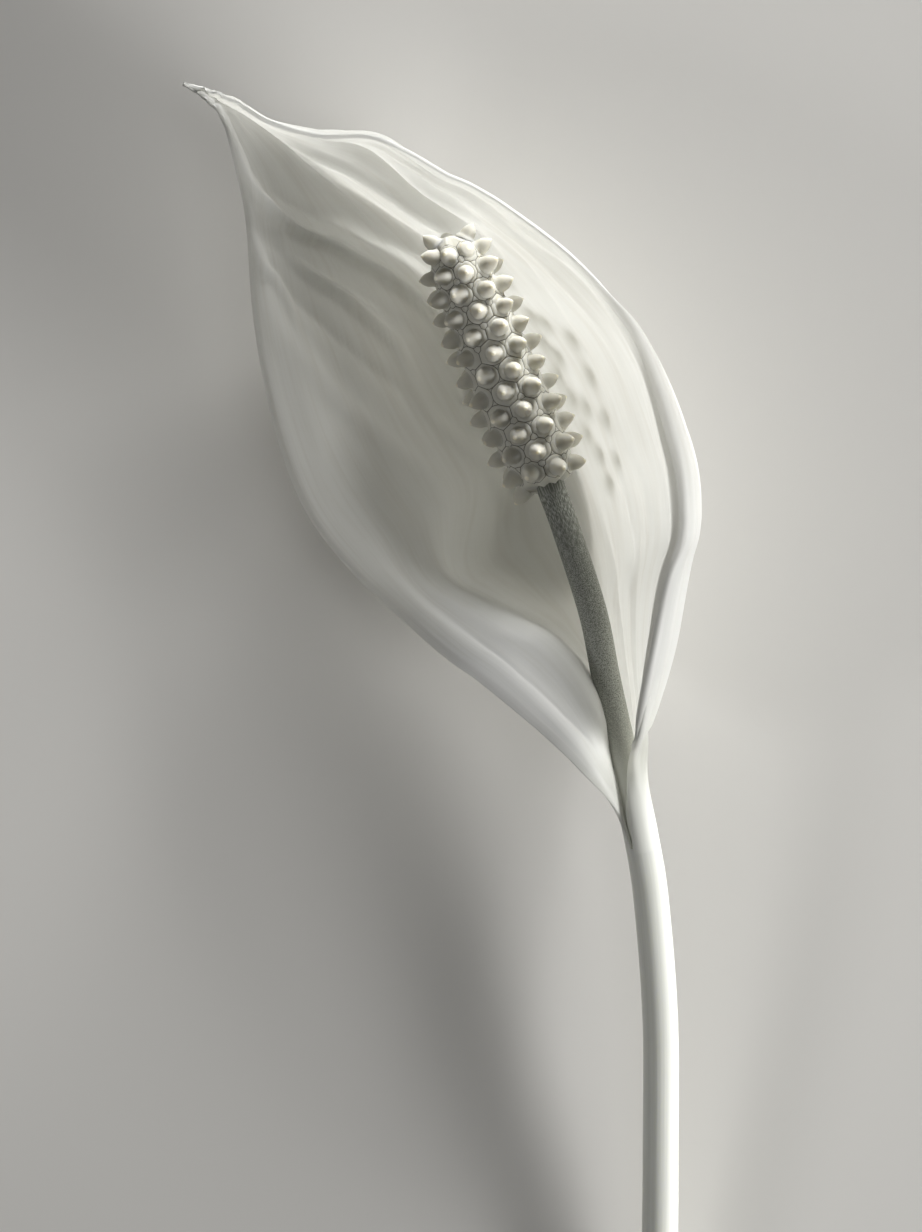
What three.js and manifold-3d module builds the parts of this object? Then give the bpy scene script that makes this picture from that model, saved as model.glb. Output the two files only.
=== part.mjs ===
// A cut peace lily flower (Spathiphyllum), lying on its back as it comes to rest on a table.
//
// Millimetres, +Z up. The origin is the middle of the small flat where the back of the white
// spathe presses on the table. +Y runs from the cut end of the stalk towards the spathe's tip,
// and +X is to the right of someone who looks down into the open flower.
//
// Four pieces, each one grown piece of the plant:
//   peduncle  the flower stalk, from the cut end to the node that bears the spathe
//   spathe    the white bract: a sheath round the node, a deep blade and a drawn-out tip
//   stipe     the short stalk that goes on from the node to the spadix
//   spadix    the fleshy spike, covered all over with florets

import * as THREE from "three";
import { mergeVertices } from "three/addons/utils/BufferGeometryUtils.js";
import Module from "manifold-3d";

const wasm = await Module();
wasm.setup();

// Sizes
const TABLE = 0; // height of what the flower lies on
const SEAT_GAP = 0.3; // between pieces that sit against each other
const THICKNESS = { sheath: 0.6, blade: 0.8, tip: 0.6 }; // of the spathe
const PEDUNCLE_RADIUS = { top: 1.85, cut: 2.05 };
const STIPE_RADIUS = { foot: 0.95, full: 1.52 };
const STIPE_NARROWS = { from: 0.62, to: 0.84 }; // shares of the stipe's length, from its top down

// The stalk's centre line, from the foot of the spadix down to the cut end. It is one smooth
// curve, and the node is where the stipe stops and the peduncle starts.
const STALK_LINE = [
  [5.8, -4.05, 17.3],
  [7.4, -8.4, 17.0],
  [10.1, -16.8, 16.1],
  [11.5, -23.6, 15.2],
  [13.0, -30.3, 14.2],
  [14.2, -35.5, 13.4],
  [15.3, -40.6, 12.5],
  [16.4, -47.4, 11.2],
  [17.4, -60.0, 9.2],
  [17.5, -73.2, 7.4],
  [17.4, -86.0, 5.6],
  [16.8, -100.0, 3.9],
  [15.8, -115.0, 2.6],
  [14.6, -131.0, 2.1],
  [13.4, -148.0, 2.0],
];
const NODE_Y = -41.9;

// The spathe, as cross-sections from the node to the tip. mid is the midrib, left and right
// are the two edges, all on the middle of the blade's thickness. A lip is the width of the
// rolled border along that edge: it flares outwards, or curls inwards where it is negative.
const SECTIONS = [
  { mid: [15.2, -40.2, 10.6], left: [14.0, -40.8, 13.2], right: [14.2, -38.3, 15.0], lips: [0, 0] },
  { mid: [14.2, -35.5, 10.0], left: [11.4, -36.6, 16.0], right: [14.9, -32.2, 17.6], lips: [0.6, 1.6] },
  { mid: [12.9, -29.8, 7.1], left: [7.3, -32.5, 18.2], right: [16.8, -26.7, 22.8], lips: [1.0, 2.6] },
  { mid: [11.7, -24.1, 4.0], left: [3.0, -28.5, 18.7], right: [18.6, -20.3, 26.6], lips: [1.2, 3.3] },
  { mid: [10.1, -17.5, 1.4], left: [-2.2, -24.3, 18.7], right: [19.9, -12.9, 28.2], lips: [1.3, 3.0] },
  { mid: [9.1, -13.2, 0.4], left: [-5.8, -21.8, 18.2], right: [21.0, -8.1, 28.2], lips: [1.3, 2.4] },
  { mid: [7.2, -7.0, -0.3], left: [-10.5, -17.6, 17.1], right: [20.8, -1.1, 27.0], lips: [1.2, 2.3] },
  { mid: [4.6, -0.6, -0.6], left: [-15.4, -12.8, 15.8], right: [18.4, 6.2, 25.3], lips: [1.1, 1.9] },
  { mid: [1.0, 6.4, -0.6], left: [-20.0, -6.5, 14.6], right: [14.1, 13.8, 23.0], lips: [1.0, 0.9] },
  { mid: [-3.2, 13.0, 0.5], left: [-22.8, 0.7, 14.0], right: [8.2, 20.3, 21.2], lips: [0.9, 0.6] },
  { mid: [-7.6, 19.4, 2.7], left: [-24.6, 8.3, 13.8], right: [1.2, 25.6, 19.8], lips: [0.8, 0.5] },
  { mid: [-12.4, 24.2, 5.5], left: [-25.6, 15.0, 14.0], right: [-4.9, 29.3, 18.7], lips: [0.7, 0.3] },
  { mid: [-17.4, 28.6, 9.0], left: [-26.1, 21.8, 14.6], right: [-12.2, 32.9, 17.9], lips: [0.6, -0.4] },
  { mid: [-21.4, 32.3, 12.0], left: [-26.7, 27.5, 15.4], right: [-18.9, 33.2, 17.6], lips: [0.5, -0.6] },
  { mid: [-25.3, 35.1, 14.2], left: [-28.0, 32.2, 16.3], right: [-24.2, 34.8, 17.6], lips: [0.3, -0.4] },
  { mid: [-29.1, 37.0, 16.1], left: [-29.7, 36.2, 16.9], right: [-28.4, 37.4, 17.5], lips: [0.1, -0.1] },
  { mid: [-33.0, 38.8, 17.2], left: [-33.3, 38.6, 17.3], right: [-33.0, 39.1, 17.4], lips: [0, 0] },
];
// Where a wing's cross-section runs between the midrib and its lip: [share of the way out,
// share of the way up]. The blade is a trough in its deep part and a V towards both ends.
const DEEP_WING = [[0.38, 0.04], [0.74, 0.25], [0.95, 0.66]];
const SHALLOW_WING = [[0.33, 0.24], [0.64, 0.54], [0.86, 0.82]];
const TROUGH = { opens: [0.5, 4], closes: [8, 12] }; // in sections
const BASE_BULGE = { out: 1.5, fades: [1.5, 4.5] }; // of the right wing's wall beside the stipe
const THICKENS = [0.8, 2.5]; // in sections: from the sheath's thickness to the blade's
const THINS_FROM = 13; // the section where the blade's thickness starts to fall towards the tip's
const LIP_RISE = 0.22; // a flared lip's crest over its edge, for each millimetre of its width
const CURL_DROP = 0.9; // a curled lip's crest under its edge, in the same way

// Lengthwise folds in the blade: { at, wide } in shares of a wing, from 0 at the midrib to 1
// at the edge and negative on the left wing, { from, to } in sections, height in millimetres.
const FOLDS = [
  { at: 0, wide: 0.05, height: -0.3, from: 4, to: 15.5 },
  { at: -0.2, wide: 0.1, height: 0.38, from: 8, to: 14.5 },
  { at: -0.42, wide: 0.1, height: -0.36, from: 7, to: 14.5 },
  { at: -0.62, wide: 0.09, height: 0.32, from: 8, to: 14 },
  { at: -0.8, wide: 0.08, height: -0.25, from: 7, to: 13.5 },
  { at: 0.22, wide: 0.09, height: 0.42, from: 8, to: 14 },
  { at: 0.44, wide: 0.1, height: -0.4, from: 8, to: 13.5 },
  { at: 0.64, wide: 0.09, height: 0.25, from: 7, to: 13 },
];

// The spathe's foot is a sheath round the stipe, flush with the peduncle under it and slit at
// its front left. From the node up to its mouth each edge turns away, in degrees from the
// front, and the two edges and the back reach up to different heights.
const SHEATH = {
  right: { turn: [-38, -12], mouthY: -33.4 },
  back: { turn: [-180, -180], mouthY: -37.0 },
  left: { turn: [-48, -80], mouthY: -38.5 },
};
const SHEATH_OPENS = { from: 0.6, to: 1.7 }; // in sections: where it turns into the open blade
const STIPE_BESIDE_TO = 5; // the blade passes close to the stipe up to this section

// The spadix: its two ends, and its outline as [distance from the free end, radius] on top of
// the tepals.
const SPADIX_TIP = [-5.35, 22.6, 19.2];
const SPADIX_FOOT = [5.7, -3.7, 17.35];
const SPADIX_OUTLINE = [
  [0, 0], [0.12, 0.8], [0.4, 1.5], [0.9, 2.05], [1.8, 2.55], [3.5, 2.95], [6, 3.2], [10, 3.42],
  [15, 3.62], [20, 3.7], [24, 3.6], [26.6, 3.25], [27.9, 2.7], [28.5, 2.0],
];
const SPADIX_END = 28.5;
// The florets stand in one spiral, numbered down the spadix, each one a rise and a turn on from
// the last. The skin's length from the free end and the turn are given for number 0.
const FLORET = { rise: 0.296, turn: 47.57, first: -47, last: 39, zeroAt: 17.0, zeroTurn: 15.9 };
const FLORET_STRAY = { along: 0.14, turn: 2.2 }; // how far each floret grew off its exact place
// A tepal plate has six corners, each shared with the plates of the next florets. A corner is
// as far down as a floret that many numbers on, and as far round but for some thirds of a turn.
const CORNERS = [
  { on: 3, thirds: -1 }, { on: -2, thirds: 1 }, { on: -5, thirds: 2 },
  { on: -3, thirds: 1 }, { on: 2, thirds: -1 }, { on: 5, thirds: -2 },
];
const GROOVE = { wide: 0.22, deep: 0.4 }; // between the tepal plates of neighbouring florets
const PISTIL = { radius: 1, height: 1.6 };
const PISTIL_OUTLINE = [[1, 0.02], [0.88, 0.4], [0.48, 0.82]]; // [radius, height] as shares
// The last florets stand on the free end, at these turns and this far from its middle. Each has
// a round plate, a root sunk in the skin, and a pistil that is a little smaller.
const CROWN = { turns: [-95, 72, 180], from: 1.6, size: 0.95 };
const CROWN_PLATE = [[1.04, -1.2], [1.3, -0.2], [1.235, 0]]; // [radius, height] over the skin

const COLOUR = { peduncle: "#c9d3b4", stipe: "#6f7d5c", spathe: "#f1f1e9", spadix: "#dfddc8" };

const vector = (p) => new THREE.Vector3(...p);
const mix = THREE.MathUtils.lerp;
const { smoothstep } = THREE.MathUtils;
const radians = THREE.MathUtils.degToRad;
const curveThrough = (points) => new THREE.CatmullRomCurve3(points.map(vector), false, "catmullrom");

// A value between hand-set ones, as a smooth curve through evenly spaced values.
function between(values, share) {
  const line = new THREE.SplineCurve(values.map((value, i) => new THREE.Vector2(i, value)));
  return line.getPoint(share).y;
}

// A closed solid from rings of points, one ring after another, with a flat fan at each end.
function loft(rings) {
  const sides = rings[0].length;
  const position = rings.flat().flatMap((p) => p.toArray());
  const index = [];
  for (let ring = 0; ring < rings.length - 1; ring++) {
    for (let side = 0; side < sides; side++) {
      const a = ring * sides + side;
      const b = ring * sides + ((side + 1) % sides);
      index.push(a, b, b + sides, a, b + sides, a + sides);
    }
  }
  const last = (rings.length - 1) * sides;
  for (let side = 1; side < sides - 1; side++) {
    index.push(0, side + 1, side, last, last + side, last + side + 1);
  }
  return surface(position, index);
}

function surface(position, index) {
  const geometry = new THREE.BufferGeometry();
  geometry.setAttribute("position", new THREE.Float32BufferAttribute(position, 3));
  if (index) geometry.setIndex(index);
  return geometry;
}

// A point of a stalk's centre line, with the two directions upright to it.
function stalkFrame(share) {
  const centre = stalkLine.getPoint(share);
  const along = stalkLine.getTangent(share);
  const right = new THREE.Vector3(0, 0, 1).cross(along).normalize();
  return { centre, right, up: along.cross(right) };
}

// A point at a radius from the stalk's centre line, turned round it from its upper side.
function roundStalk(share, turn, radius) {
  const { centre, right, up } = stalkFrame(share);
  return centre
    .addScaledVector(right, radius * Math.sin(turn))
    .addScaledVector(up, radius * Math.cos(turn));
}

// A stretch of the stalk. What would sink into the table is pressed flat on it.
function stalk(from, to, steps, radiusAt) {
  const SIDES = 16;
  const rings = [];
  for (let step = 0; step <= steps; step++) {
    const ring = [];
    for (let side = 0; side < SIDES; side++) {
      const turn = (-2 * Math.PI * side) / SIDES;
      const point = roundStalk(mix(from, to, step / steps), turn, radiusAt(step / steps));
      point.z = Math.max(point.z, TABLE);
      ring.push(point);
    }
    rings.push(ring);
  }
  return loft(rings);
}

const stalkLine = curveThrough(STALK_LINE);

// How far along its centre line the stalk reaches a given y, as a share of the line.
function stalkShareAt(y) {
  let low = 0;
  let high = 1;
  for (let halving = 0; halving < 24; halving++) {
    const share = (low + high) / 2;
    if (stalkLine.getPoint(share).y > y) low = share;
    else high = share;
  }
  return low;
}

function peduncle() {
  return stalk(stalkShareAt(NODE_Y - SEAT_GAP / 2), 1, 36, (share) =>
    mix(PEDUNCLE_RADIUS.top, PEDUNCLE_RADIUS.cut, share),
  );
}

const stipeEnd = stalkShareAt(NODE_Y + SEAT_GAP / 2);

// The stipe's radius at a share of the whole stalk line. It narrows inside the sheath.
function stipeRadius(share) {
  const toFoot = smoothstep(share / stipeEnd, STIPE_NARROWS.from, STIPE_NARROWS.to);
  return mix(STIPE_RADIUS.full, STIPE_RADIUS.foot, toFoot);
}

function stipe() {
  return stalk(0, stipeEnd, 24, (share) => stipeRadius(share * stipeEnd));
}

const rails = Object.fromEntries(
  ["mid", "left", "right"].map((rail) => [rail, curveThrough(SECTIONS.map((s) => s[rail]))]),
);

// How deep a trough the blade is at a section: 1 in its middle, less towards both ends.
function troughAt(section) {
  return smoothstep(section, ...TROUGH.opens) * (1 - smoothstep(section, ...TROUGH.closes));
}

// The crest of the lip along one edge, and the wing's three points between it and the midrib.
// A bulge pushes the wing out most at half its height.
function wingPoints(mid, edge, lip, trough, bulge) {
  const inward = mid.clone().sub(edge).setZ(0).normalize();
  const crest = edge.clone().addScaledVector(inward, lip);
  crest.z += lip > 0 ? LIP_RISE * lip : CURL_DROP * lip;
  const points = DEEP_WING.map(([deepOut, deepUp], i) => {
    const [shallowOut, shallowUp] = SHALLOW_WING[i];
    const out = mix(shallowOut, deepOut, trough);
    const up = mix(shallowUp, deepUp, trough);
    return new THREE.Vector3(
      mix(mid.x, crest.x, out) + 4 * bulge * up * (1 - up),
      mix(mid.y, crest.y, out),
      mix(mid.z, crest.z, up),
    );
  });
  return [...points, crest, edge];
}

// One cross-section of the open blade, from the left edge over the midrib to the right edge.
function crossSection(section) {
  const share = section / (SECTIONS.length - 1);
  const mid = rails.mid.getPoint(share);
  const trough = troughAt(section);
  const bulge = BASE_BULGE.out * (1 - smoothstep(section, ...BASE_BULGE.fades));
  const [left, right] = ["left", "right"].map((rail, side) => {
    const lip = between(SECTIONS.map((s) => s.lips[side]), share);
    return wingPoints(mid, rails[rail].getPoint(share), lip, trough, side * bulge);
  });
  return new THREE.CatmullRomCurve3([...left.reverse(), mid, ...right], false, "catmullrom");
}

const thicknessAt = (section) =>
  section < THINS_FROM
    ? mix(THICKNESS.sheath, THICKNESS.blade, smoothstep(section, ...THICKENS))
    : mix(THICKNESS.blade, THICKNESS.tip, smoothstep(section, THINS_FROM, SECTIONS.length - 1));

// A point of the sheath, across from -1 at the left edge to 1 at the right edge.
function sheathPoint(section, across) {
  const edge = across < 0 ? SHEATH.left : SHEATH.right;
  const up = Math.min(section, 1);
  const side = Math.abs(across);
  const backTurn = across < 0 ? SHEATH.back.turn[0] : SHEATH.back.turn[0] + 360;
  const turn = radians(mix(backTurn, mix(...edge.turn, up), side));
  const mouthY = mix(SHEATH.back.mouthY, edge.mouthY, side);
  const share = stalkShareAt(mix(NODE_Y + SEAT_GAP / 2, mouthY, section));
  return roundStalk(share, turn, PEDUNCLE_RADIUS.top - thicknessAt(section) / 2);
}

// How high the folds raise the blade at a place. A fold starts and ends over two sections.
function foldHeight(across, section) {
  return FOLDS.reduce((height, { at, wide, height: crest, from, to }) => {
    const fade = smoothstep(section, from, from + 2) * (1 - smoothstep(section, to - 2, to));
    return height + crest * fade * Math.exp(-(((across - at) / wide) ** 2));
  }, 0);
}

// The blade's foot passes close to the stipe, and keeps clear of it.
function clearOfStipe(point, section) {
  const share = stalkShareAt(point.y);
  const centre = stalkLine.getPoint(share);
  const away = point.clone().sub(centre);
  const room = stipeRadius(share) + SEAT_GAP + thicknessAt(section) / 2;
  return away.length() < room ? centre.addScaledVector(away.normalize(), room) : point;
}

// The middle of the spathe's thickness, without its folds.
function bladePoint(curve, section, across) {
  const open = curve.getPoint((across + 1) / 2);
  const sheath = 1 - smoothstep(section, SHEATH_OPENS.from, SHEATH_OPENS.to);
  const point = sheath > 0 ? open.lerp(sheathPoint(section, across), sheath) : open;
  return section < STIPE_BESIDE_TO ? clearOfStipe(point, section) : point;
}

// The spathe is a sheet with two faces. Both are split into triangles alike. The back is
// pressed flat where it lies on the table, and the front keeps its thickness above it.
function spathe() {
  const ALONG = 45;
  const ACROSS = 30;
  const NEAR = 0.01; // step for slopes, as a share of a section or of a wing
  const lastSection = SECTIONS.length - 1;
  const front = [];
  const back = [];
  for (let i = 0; i <= ALONG; i++) {
    const section = (lastSection * i) / ALONG;
    const nearSections = [Math.max(section - NEAR, 0), Math.min(section + NEAR, lastSection)];
    const curve = crossSection(section);
    const nearCurves = nearSections.map(crossSection);
    const thick = thicknessAt(section);
    for (let j = 0; j <= ACROSS; j++) {
      const across = (2 * j) / ACROSS - 1;
      const point = bladePoint(curve, section, across);
      const slopeAcross = bladePoint(curve, section, Math.min(across + NEAR, 1)).sub(
        bladePoint(curve, section, Math.max(across - NEAR, -1)),
      );
      const slopeAlong = bladePoint(nearCurves[1], nearSections[1], across).sub(
        bladePoint(nearCurves[0], nearSections[0], across),
      );
      const normal = slopeAcross.cross(slopeAlong).normalize();
      point.addScaledVector(normal, foldHeight(across, section));
      const frontPoint = point.clone().addScaledVector(normal, thick / 2);
      const backPoint = point.clone().addScaledVector(normal, -thick / 2);
      frontPoint.z = Math.max(frontPoint.z, TABLE + thick);
      backPoint.z = Math.max(backPoint.z, TABLE);
      front.push(frontPoint);
      back.push(backPoint);
    }
  }
  const row = ACROSS + 1;
  const under = front.length;
  const index = [];
  const quad = (a, b, c, d) => index.push(a, b, c, a, c, d);
  for (let i = 0; i < ALONG; i++) {
    for (let j = 0; j < ACROSS; j++) {
      const a = i * row + j;
      quad(a, a + 1, a + row + 1, a + row);
      index.push(under + a, under + a + row + 1, under + a + 1);
      index.push(under + a, under + a + row, under + a + row + 1);
    }
    const left = i * row;
    const right = left + ACROSS;
    quad(left, left + row, under + left + row, under + left);
    quad(right, under + right, under + right + row, right + row);
  }
  for (let j = 0; j < ACROSS; j++) {
    const end = ALONG * row + j;
    quad(j, under + j, under + j + 1, j + 1);
    quad(end, end + 1, under + end + 1, under + end);
  }
  return surface([...front, ...back].flatMap((p) => p.toArray()), index);
}

// The spadix is made upright on its own axis, with its free end at the top, and then laid in
// place. Its skin is measured along from the free end and round from the front.
const spadixOutline = new THREE.SplineCurve(
  SPADIX_OUTLINE.map(([at, radius]) => new THREE.Vector2(at, radius)),
);
const skinLength = spadixOutline.getLength();

function overSkin(along, turn, height) {
  const share = THREE.MathUtils.clamp(along / skinLength, 0, 1);
  const { x: at, y: radius } = spadixOutline.getPointAt(share);
  const slope = spadixOutline.getTangentAt(share);
  const out = radius + height * slope.x;
  return new THREE.Vector3(
    out * Math.sin(radians(turn)),
    height * slope.y - at,
    out * Math.cos(radians(turn)),
  );
}

const floretAlong = (number) => FLORET.zeroAt + FLORET.rise * number;
const floretTurn = (number) => FLORET.zeroTurn + FLORET.turn * number;
// Two waves out of step with the spiral, so that no two neighbours stray alike.
const strayAlong = (number) => FLORET_STRAY.along * Math.sin(2.3 * number + 1);
const strayTurn = (number) => FLORET_STRAY.turn * Math.sin(3.7 * number);

// The edge of a floret's tepal plate at the bottom of its grooves: six corners and the middles
// between them.
function plateEdge(number) {
  const corners = CORNERS.map(({ on, thirds }) =>
    overSkin(floretAlong(number + on), floretTurn(number + on) + 120 * thirds, -GROOVE.deep),
  );
  return corners.flatMap((corner, i) => [
    corner,
    corner.clone().add(corners[(i + 1) % corners.length]).multiplyScalar(0.5),
  ]);
}

// Rings of a floret from the grooves round it up to the tip of its pistil.
function floretRings(number) {
  const along = floretAlong(number) + strayAlong(number);
  const turn = floretTurn(number) + strayTurn(number);
  const foot = overSkin(along, turn, 0);
  const facing = overSkin(along, turn, 1).sub(foot);
  const edge = plateEdge(number);
  const toEdge = edge.map((point) => point.clone().sub(foot).projectOnPlane(facing).normalize());
  const moved = (point, i, out, up) =>
    point.clone().addScaledVector(toEdge[i], out).addScaledVector(facing, up);
  const top = edge.map((point, i) => moved(point, i, -GROOVE.wide / 2, GROOVE.deep));
  const pistil = PISTIL_OUTLINE.map(([radius, height]) =>
    edge.map((_, i) => moved(foot, i, PISTIL.radius * radius, PISTIL.height * height)),
  );
  const tip = foot.clone().addScaledVector(facing, PISTIL.height);
  return { rings: [edge, top, ...pistil], tip };
}

// The skin of tepals and pistils, one closed body: the plates share their corners.
function spadixSkin() {
  const position = [];
  const triangle = (...corners) => corners.forEach((p) => position.push(...p.toArray()));
  for (let number = FLORET.first; number <= FLORET.last; number++) {
    const { rings, tip } = floretRings(number);
    const sides = rings[0].length;
    for (let side = 0; side < sides; side++) {
      const next = (side + 1) % sides;
      for (let ring = 0; ring < rings.length - 1; ring++) {
        triangle(rings[ring][side], rings[ring][next], rings[ring + 1][next]);
        triangle(rings[ring][side], rings[ring + 1][next], rings[ring + 1][side]);
      }
      triangle(rings.at(-1)[side], rings.at(-1)[next], tip);
    }
  }
  return closeEnds(mergeVertices(surface(position, null), 1e-4));
}

// The skin is open at both ends, where the spiral starts and stops. A fan to the axis closes
// each one.
function closeEnds(skin) {
  const index = Array.from(skin.index.array);
  const position = Array.from(skin.attributes.position.array);
  const edges = new Set();
  for (let i = 0; i < index.length; i += 3) {
    for (const [from, to] of [[0, 1], [1, 2], [2, 0]]) {
      edges.add(`${index[i + from]} ${index[i + to]}`);
    }
  }
  const freeEnd = position.length / 3;
  const foot = freeEnd + 1;
  position.push(0, -GROOVE.deep, 0, 0, -SPADIX_END, 0);
  for (const edge of edges) {
    const [from, to] = edge.split(" ").map(Number);
    if (edges.has(`${to} ${from}`)) continue;
    index.push(to, from, position[3 * from + 1] > -SPADIX_END / 2 ? freeEnd : foot);
  }
  return surface(position, index);
}

// One of the last florets, which stand on the free end itself.
function crownFloret(turn) {
  const SIDES = 12;
  const foot = overSkin(CROWN.from, turn, 0);
  const facing = overSkin(CROWN.from, turn, 1).sub(foot);
  const acrossIt = new THREE.Vector3(Math.cos(radians(turn)), 0, -Math.sin(radians(turn)));
  const alongIt = facing.clone().cross(acrossIt);
  const pistil = [...PISTIL_OUTLINE, [0.1, 1]].map(([radius, height]) => [
    PISTIL.radius * CROWN.size * radius,
    PISTIL.height * CROWN.size * height,
  ]);
  return loft(
    [...CROWN_PLATE, ...pistil].map(([radius, height]) =>
      Array.from({ length: SIDES }, (_, side) => {
        const angle = (2 * Math.PI * side) / SIDES;
        return foot
          .clone()
          .addScaledVector(acrossIt, radius * Math.cos(angle))
          .addScaledVector(alongIt, radius * Math.sin(angle))
          .addScaledVector(facing, height);
      }),
    ),
  );
}

function solidOf(geometry) {
  const bare = geometry.clone();
  bare.deleteAttribute("normal");
  bare.deleteAttribute("uv");
  const merged = mergeVertices(bare, 1e-4);
  return new wasm.Manifold(
    new wasm.Mesh({
      numProp: 3,
      vertProperties: merged.attributes.position.array,
      triVerts: new Uint32Array(merged.index.array),
    }),
  );
}

function spadix() {
  let joined = solidOf(spadixSkin());
  for (const turn of CROWN.turns) joined = joined.add(solidOf(crownFloret(turn)));
  const mesh = joined.getMesh();
  const geometry = surface(Array.from(mesh.vertProperties), Array.from(mesh.triVerts));
  const tip = vector(SPADIX_TIP);
  const up = tip.clone().sub(vector(SPADIX_FOOT)).normalize();
  const right = up.clone().cross(new THREE.Vector3(0, 0, 1)).normalize();
  const front = right.clone().cross(up);
  const laid = new THREE.Matrix4().makeBasis(right, up, front).setPosition(tip);
  return geometry.applyMatrix4(laid);
}

const flower = new THREE.Group();
for (const [name, make] of Object.entries({ peduncle, stipe, spathe, spadix })) {
  const look = { color: COLOUR[name], roughness: 0.55, metalness: 0 };
  const mesh = new THREE.Mesh(make(), new THREE.MeshStandardMaterial(look));
  mesh.name = name;
  flower.add(mesh);
}

export default flower;
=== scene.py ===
# A cut peace lily flower (Spathiphyllum) lying on its back, seen from straight above.
#
# The frame is millimetres in thought and metres in Blender. The origin is where the back of the
# white spathe presses on the table, +Y runs towards the spathe's tip and +Z up. The four grown
# pieces of the frame are stood for by finer ones of the same form: veins, puckers and a thin
# margin on the spathe, tepals and beaked pistils on the spadix, rind on the two stalks.
import math

import bpy
import numpy as np
from bpy.props import FloatProperty, FloatVectorProperty, IntProperty, PointerProperty
from bpy.types import Operator, Panel, PropertyGroup
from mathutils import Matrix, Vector


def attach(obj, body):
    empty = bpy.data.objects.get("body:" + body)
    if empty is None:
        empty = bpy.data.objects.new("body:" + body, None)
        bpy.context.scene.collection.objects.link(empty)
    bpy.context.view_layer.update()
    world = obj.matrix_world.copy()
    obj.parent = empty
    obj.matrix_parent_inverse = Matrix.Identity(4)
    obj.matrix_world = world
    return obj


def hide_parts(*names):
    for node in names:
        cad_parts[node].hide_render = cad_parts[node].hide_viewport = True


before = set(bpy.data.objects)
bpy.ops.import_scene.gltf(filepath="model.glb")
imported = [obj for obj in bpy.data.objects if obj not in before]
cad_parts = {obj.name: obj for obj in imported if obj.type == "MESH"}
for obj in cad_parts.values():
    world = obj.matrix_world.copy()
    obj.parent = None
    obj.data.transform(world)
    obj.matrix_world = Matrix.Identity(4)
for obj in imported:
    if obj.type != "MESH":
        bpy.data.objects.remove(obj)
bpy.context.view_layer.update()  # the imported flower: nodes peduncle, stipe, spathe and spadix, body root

bl_info = {
    "name": "Peace Lily Flower",
    "version": (1, 0, 0),
    "blender": (4, 5, 0),
    "location": "View3D > Sidebar > Peace Lily",
    "description": "A cut peace lily flower that lies on its back under soft studio light",
    "category": "Add Mesh",
}

MM = 0.001

# The stalk's centre line in millimetres, from the foot of the spadix down to the cut end.
STALK_LINE = (
    (5.8, -4.05, 17.3), (7.4, -8.4, 17.0), (10.1, -16.8, 16.1), (11.5, -23.6, 15.2),
    (13.0, -30.3, 14.2), (14.2, -35.5, 13.4), (15.3, -40.6, 12.5), (16.4, -47.4, 11.2),
    (17.4, -60.0, 9.2), (17.5, -73.2, 7.4), (17.4, -86.0, 5.6), (16.8, -100.0, 3.9),
    (15.8, -115.0, 2.6), (14.6, -131.0, 2.1), (13.4, -148.0, 2.0),
)
NODE_Y = -41.9  # where the stipe stops and the peduncle starts
PEDUNCLE_TOP = 1.85  # radii
PEDUNCLE_CUT = 2.05
PEDUNCLE_UP = 0.5  # how far the peduncle's top goes up into the sheath
PEDUNCLE_TUCK = (0.04, 0.014)  # how much thinner it is there, fading over this share of its length
# The rings across the cut: their share of the stalk's width, and how far inside the end they lie.
CUT_RINGS = ((0.985, -0.03), (0.93, 0.02), (0.6, 0.1), (0.25, 0.14))
STIPE_FULL = 1.52
STIPE_FOOT = 1.27
STIPE_NARROWS = (0.62, 0.84)  # shares of the stipe's length, from its top down
STIPE_ROOT = 1.0  # how far the stipe's top goes into the spadix

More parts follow.
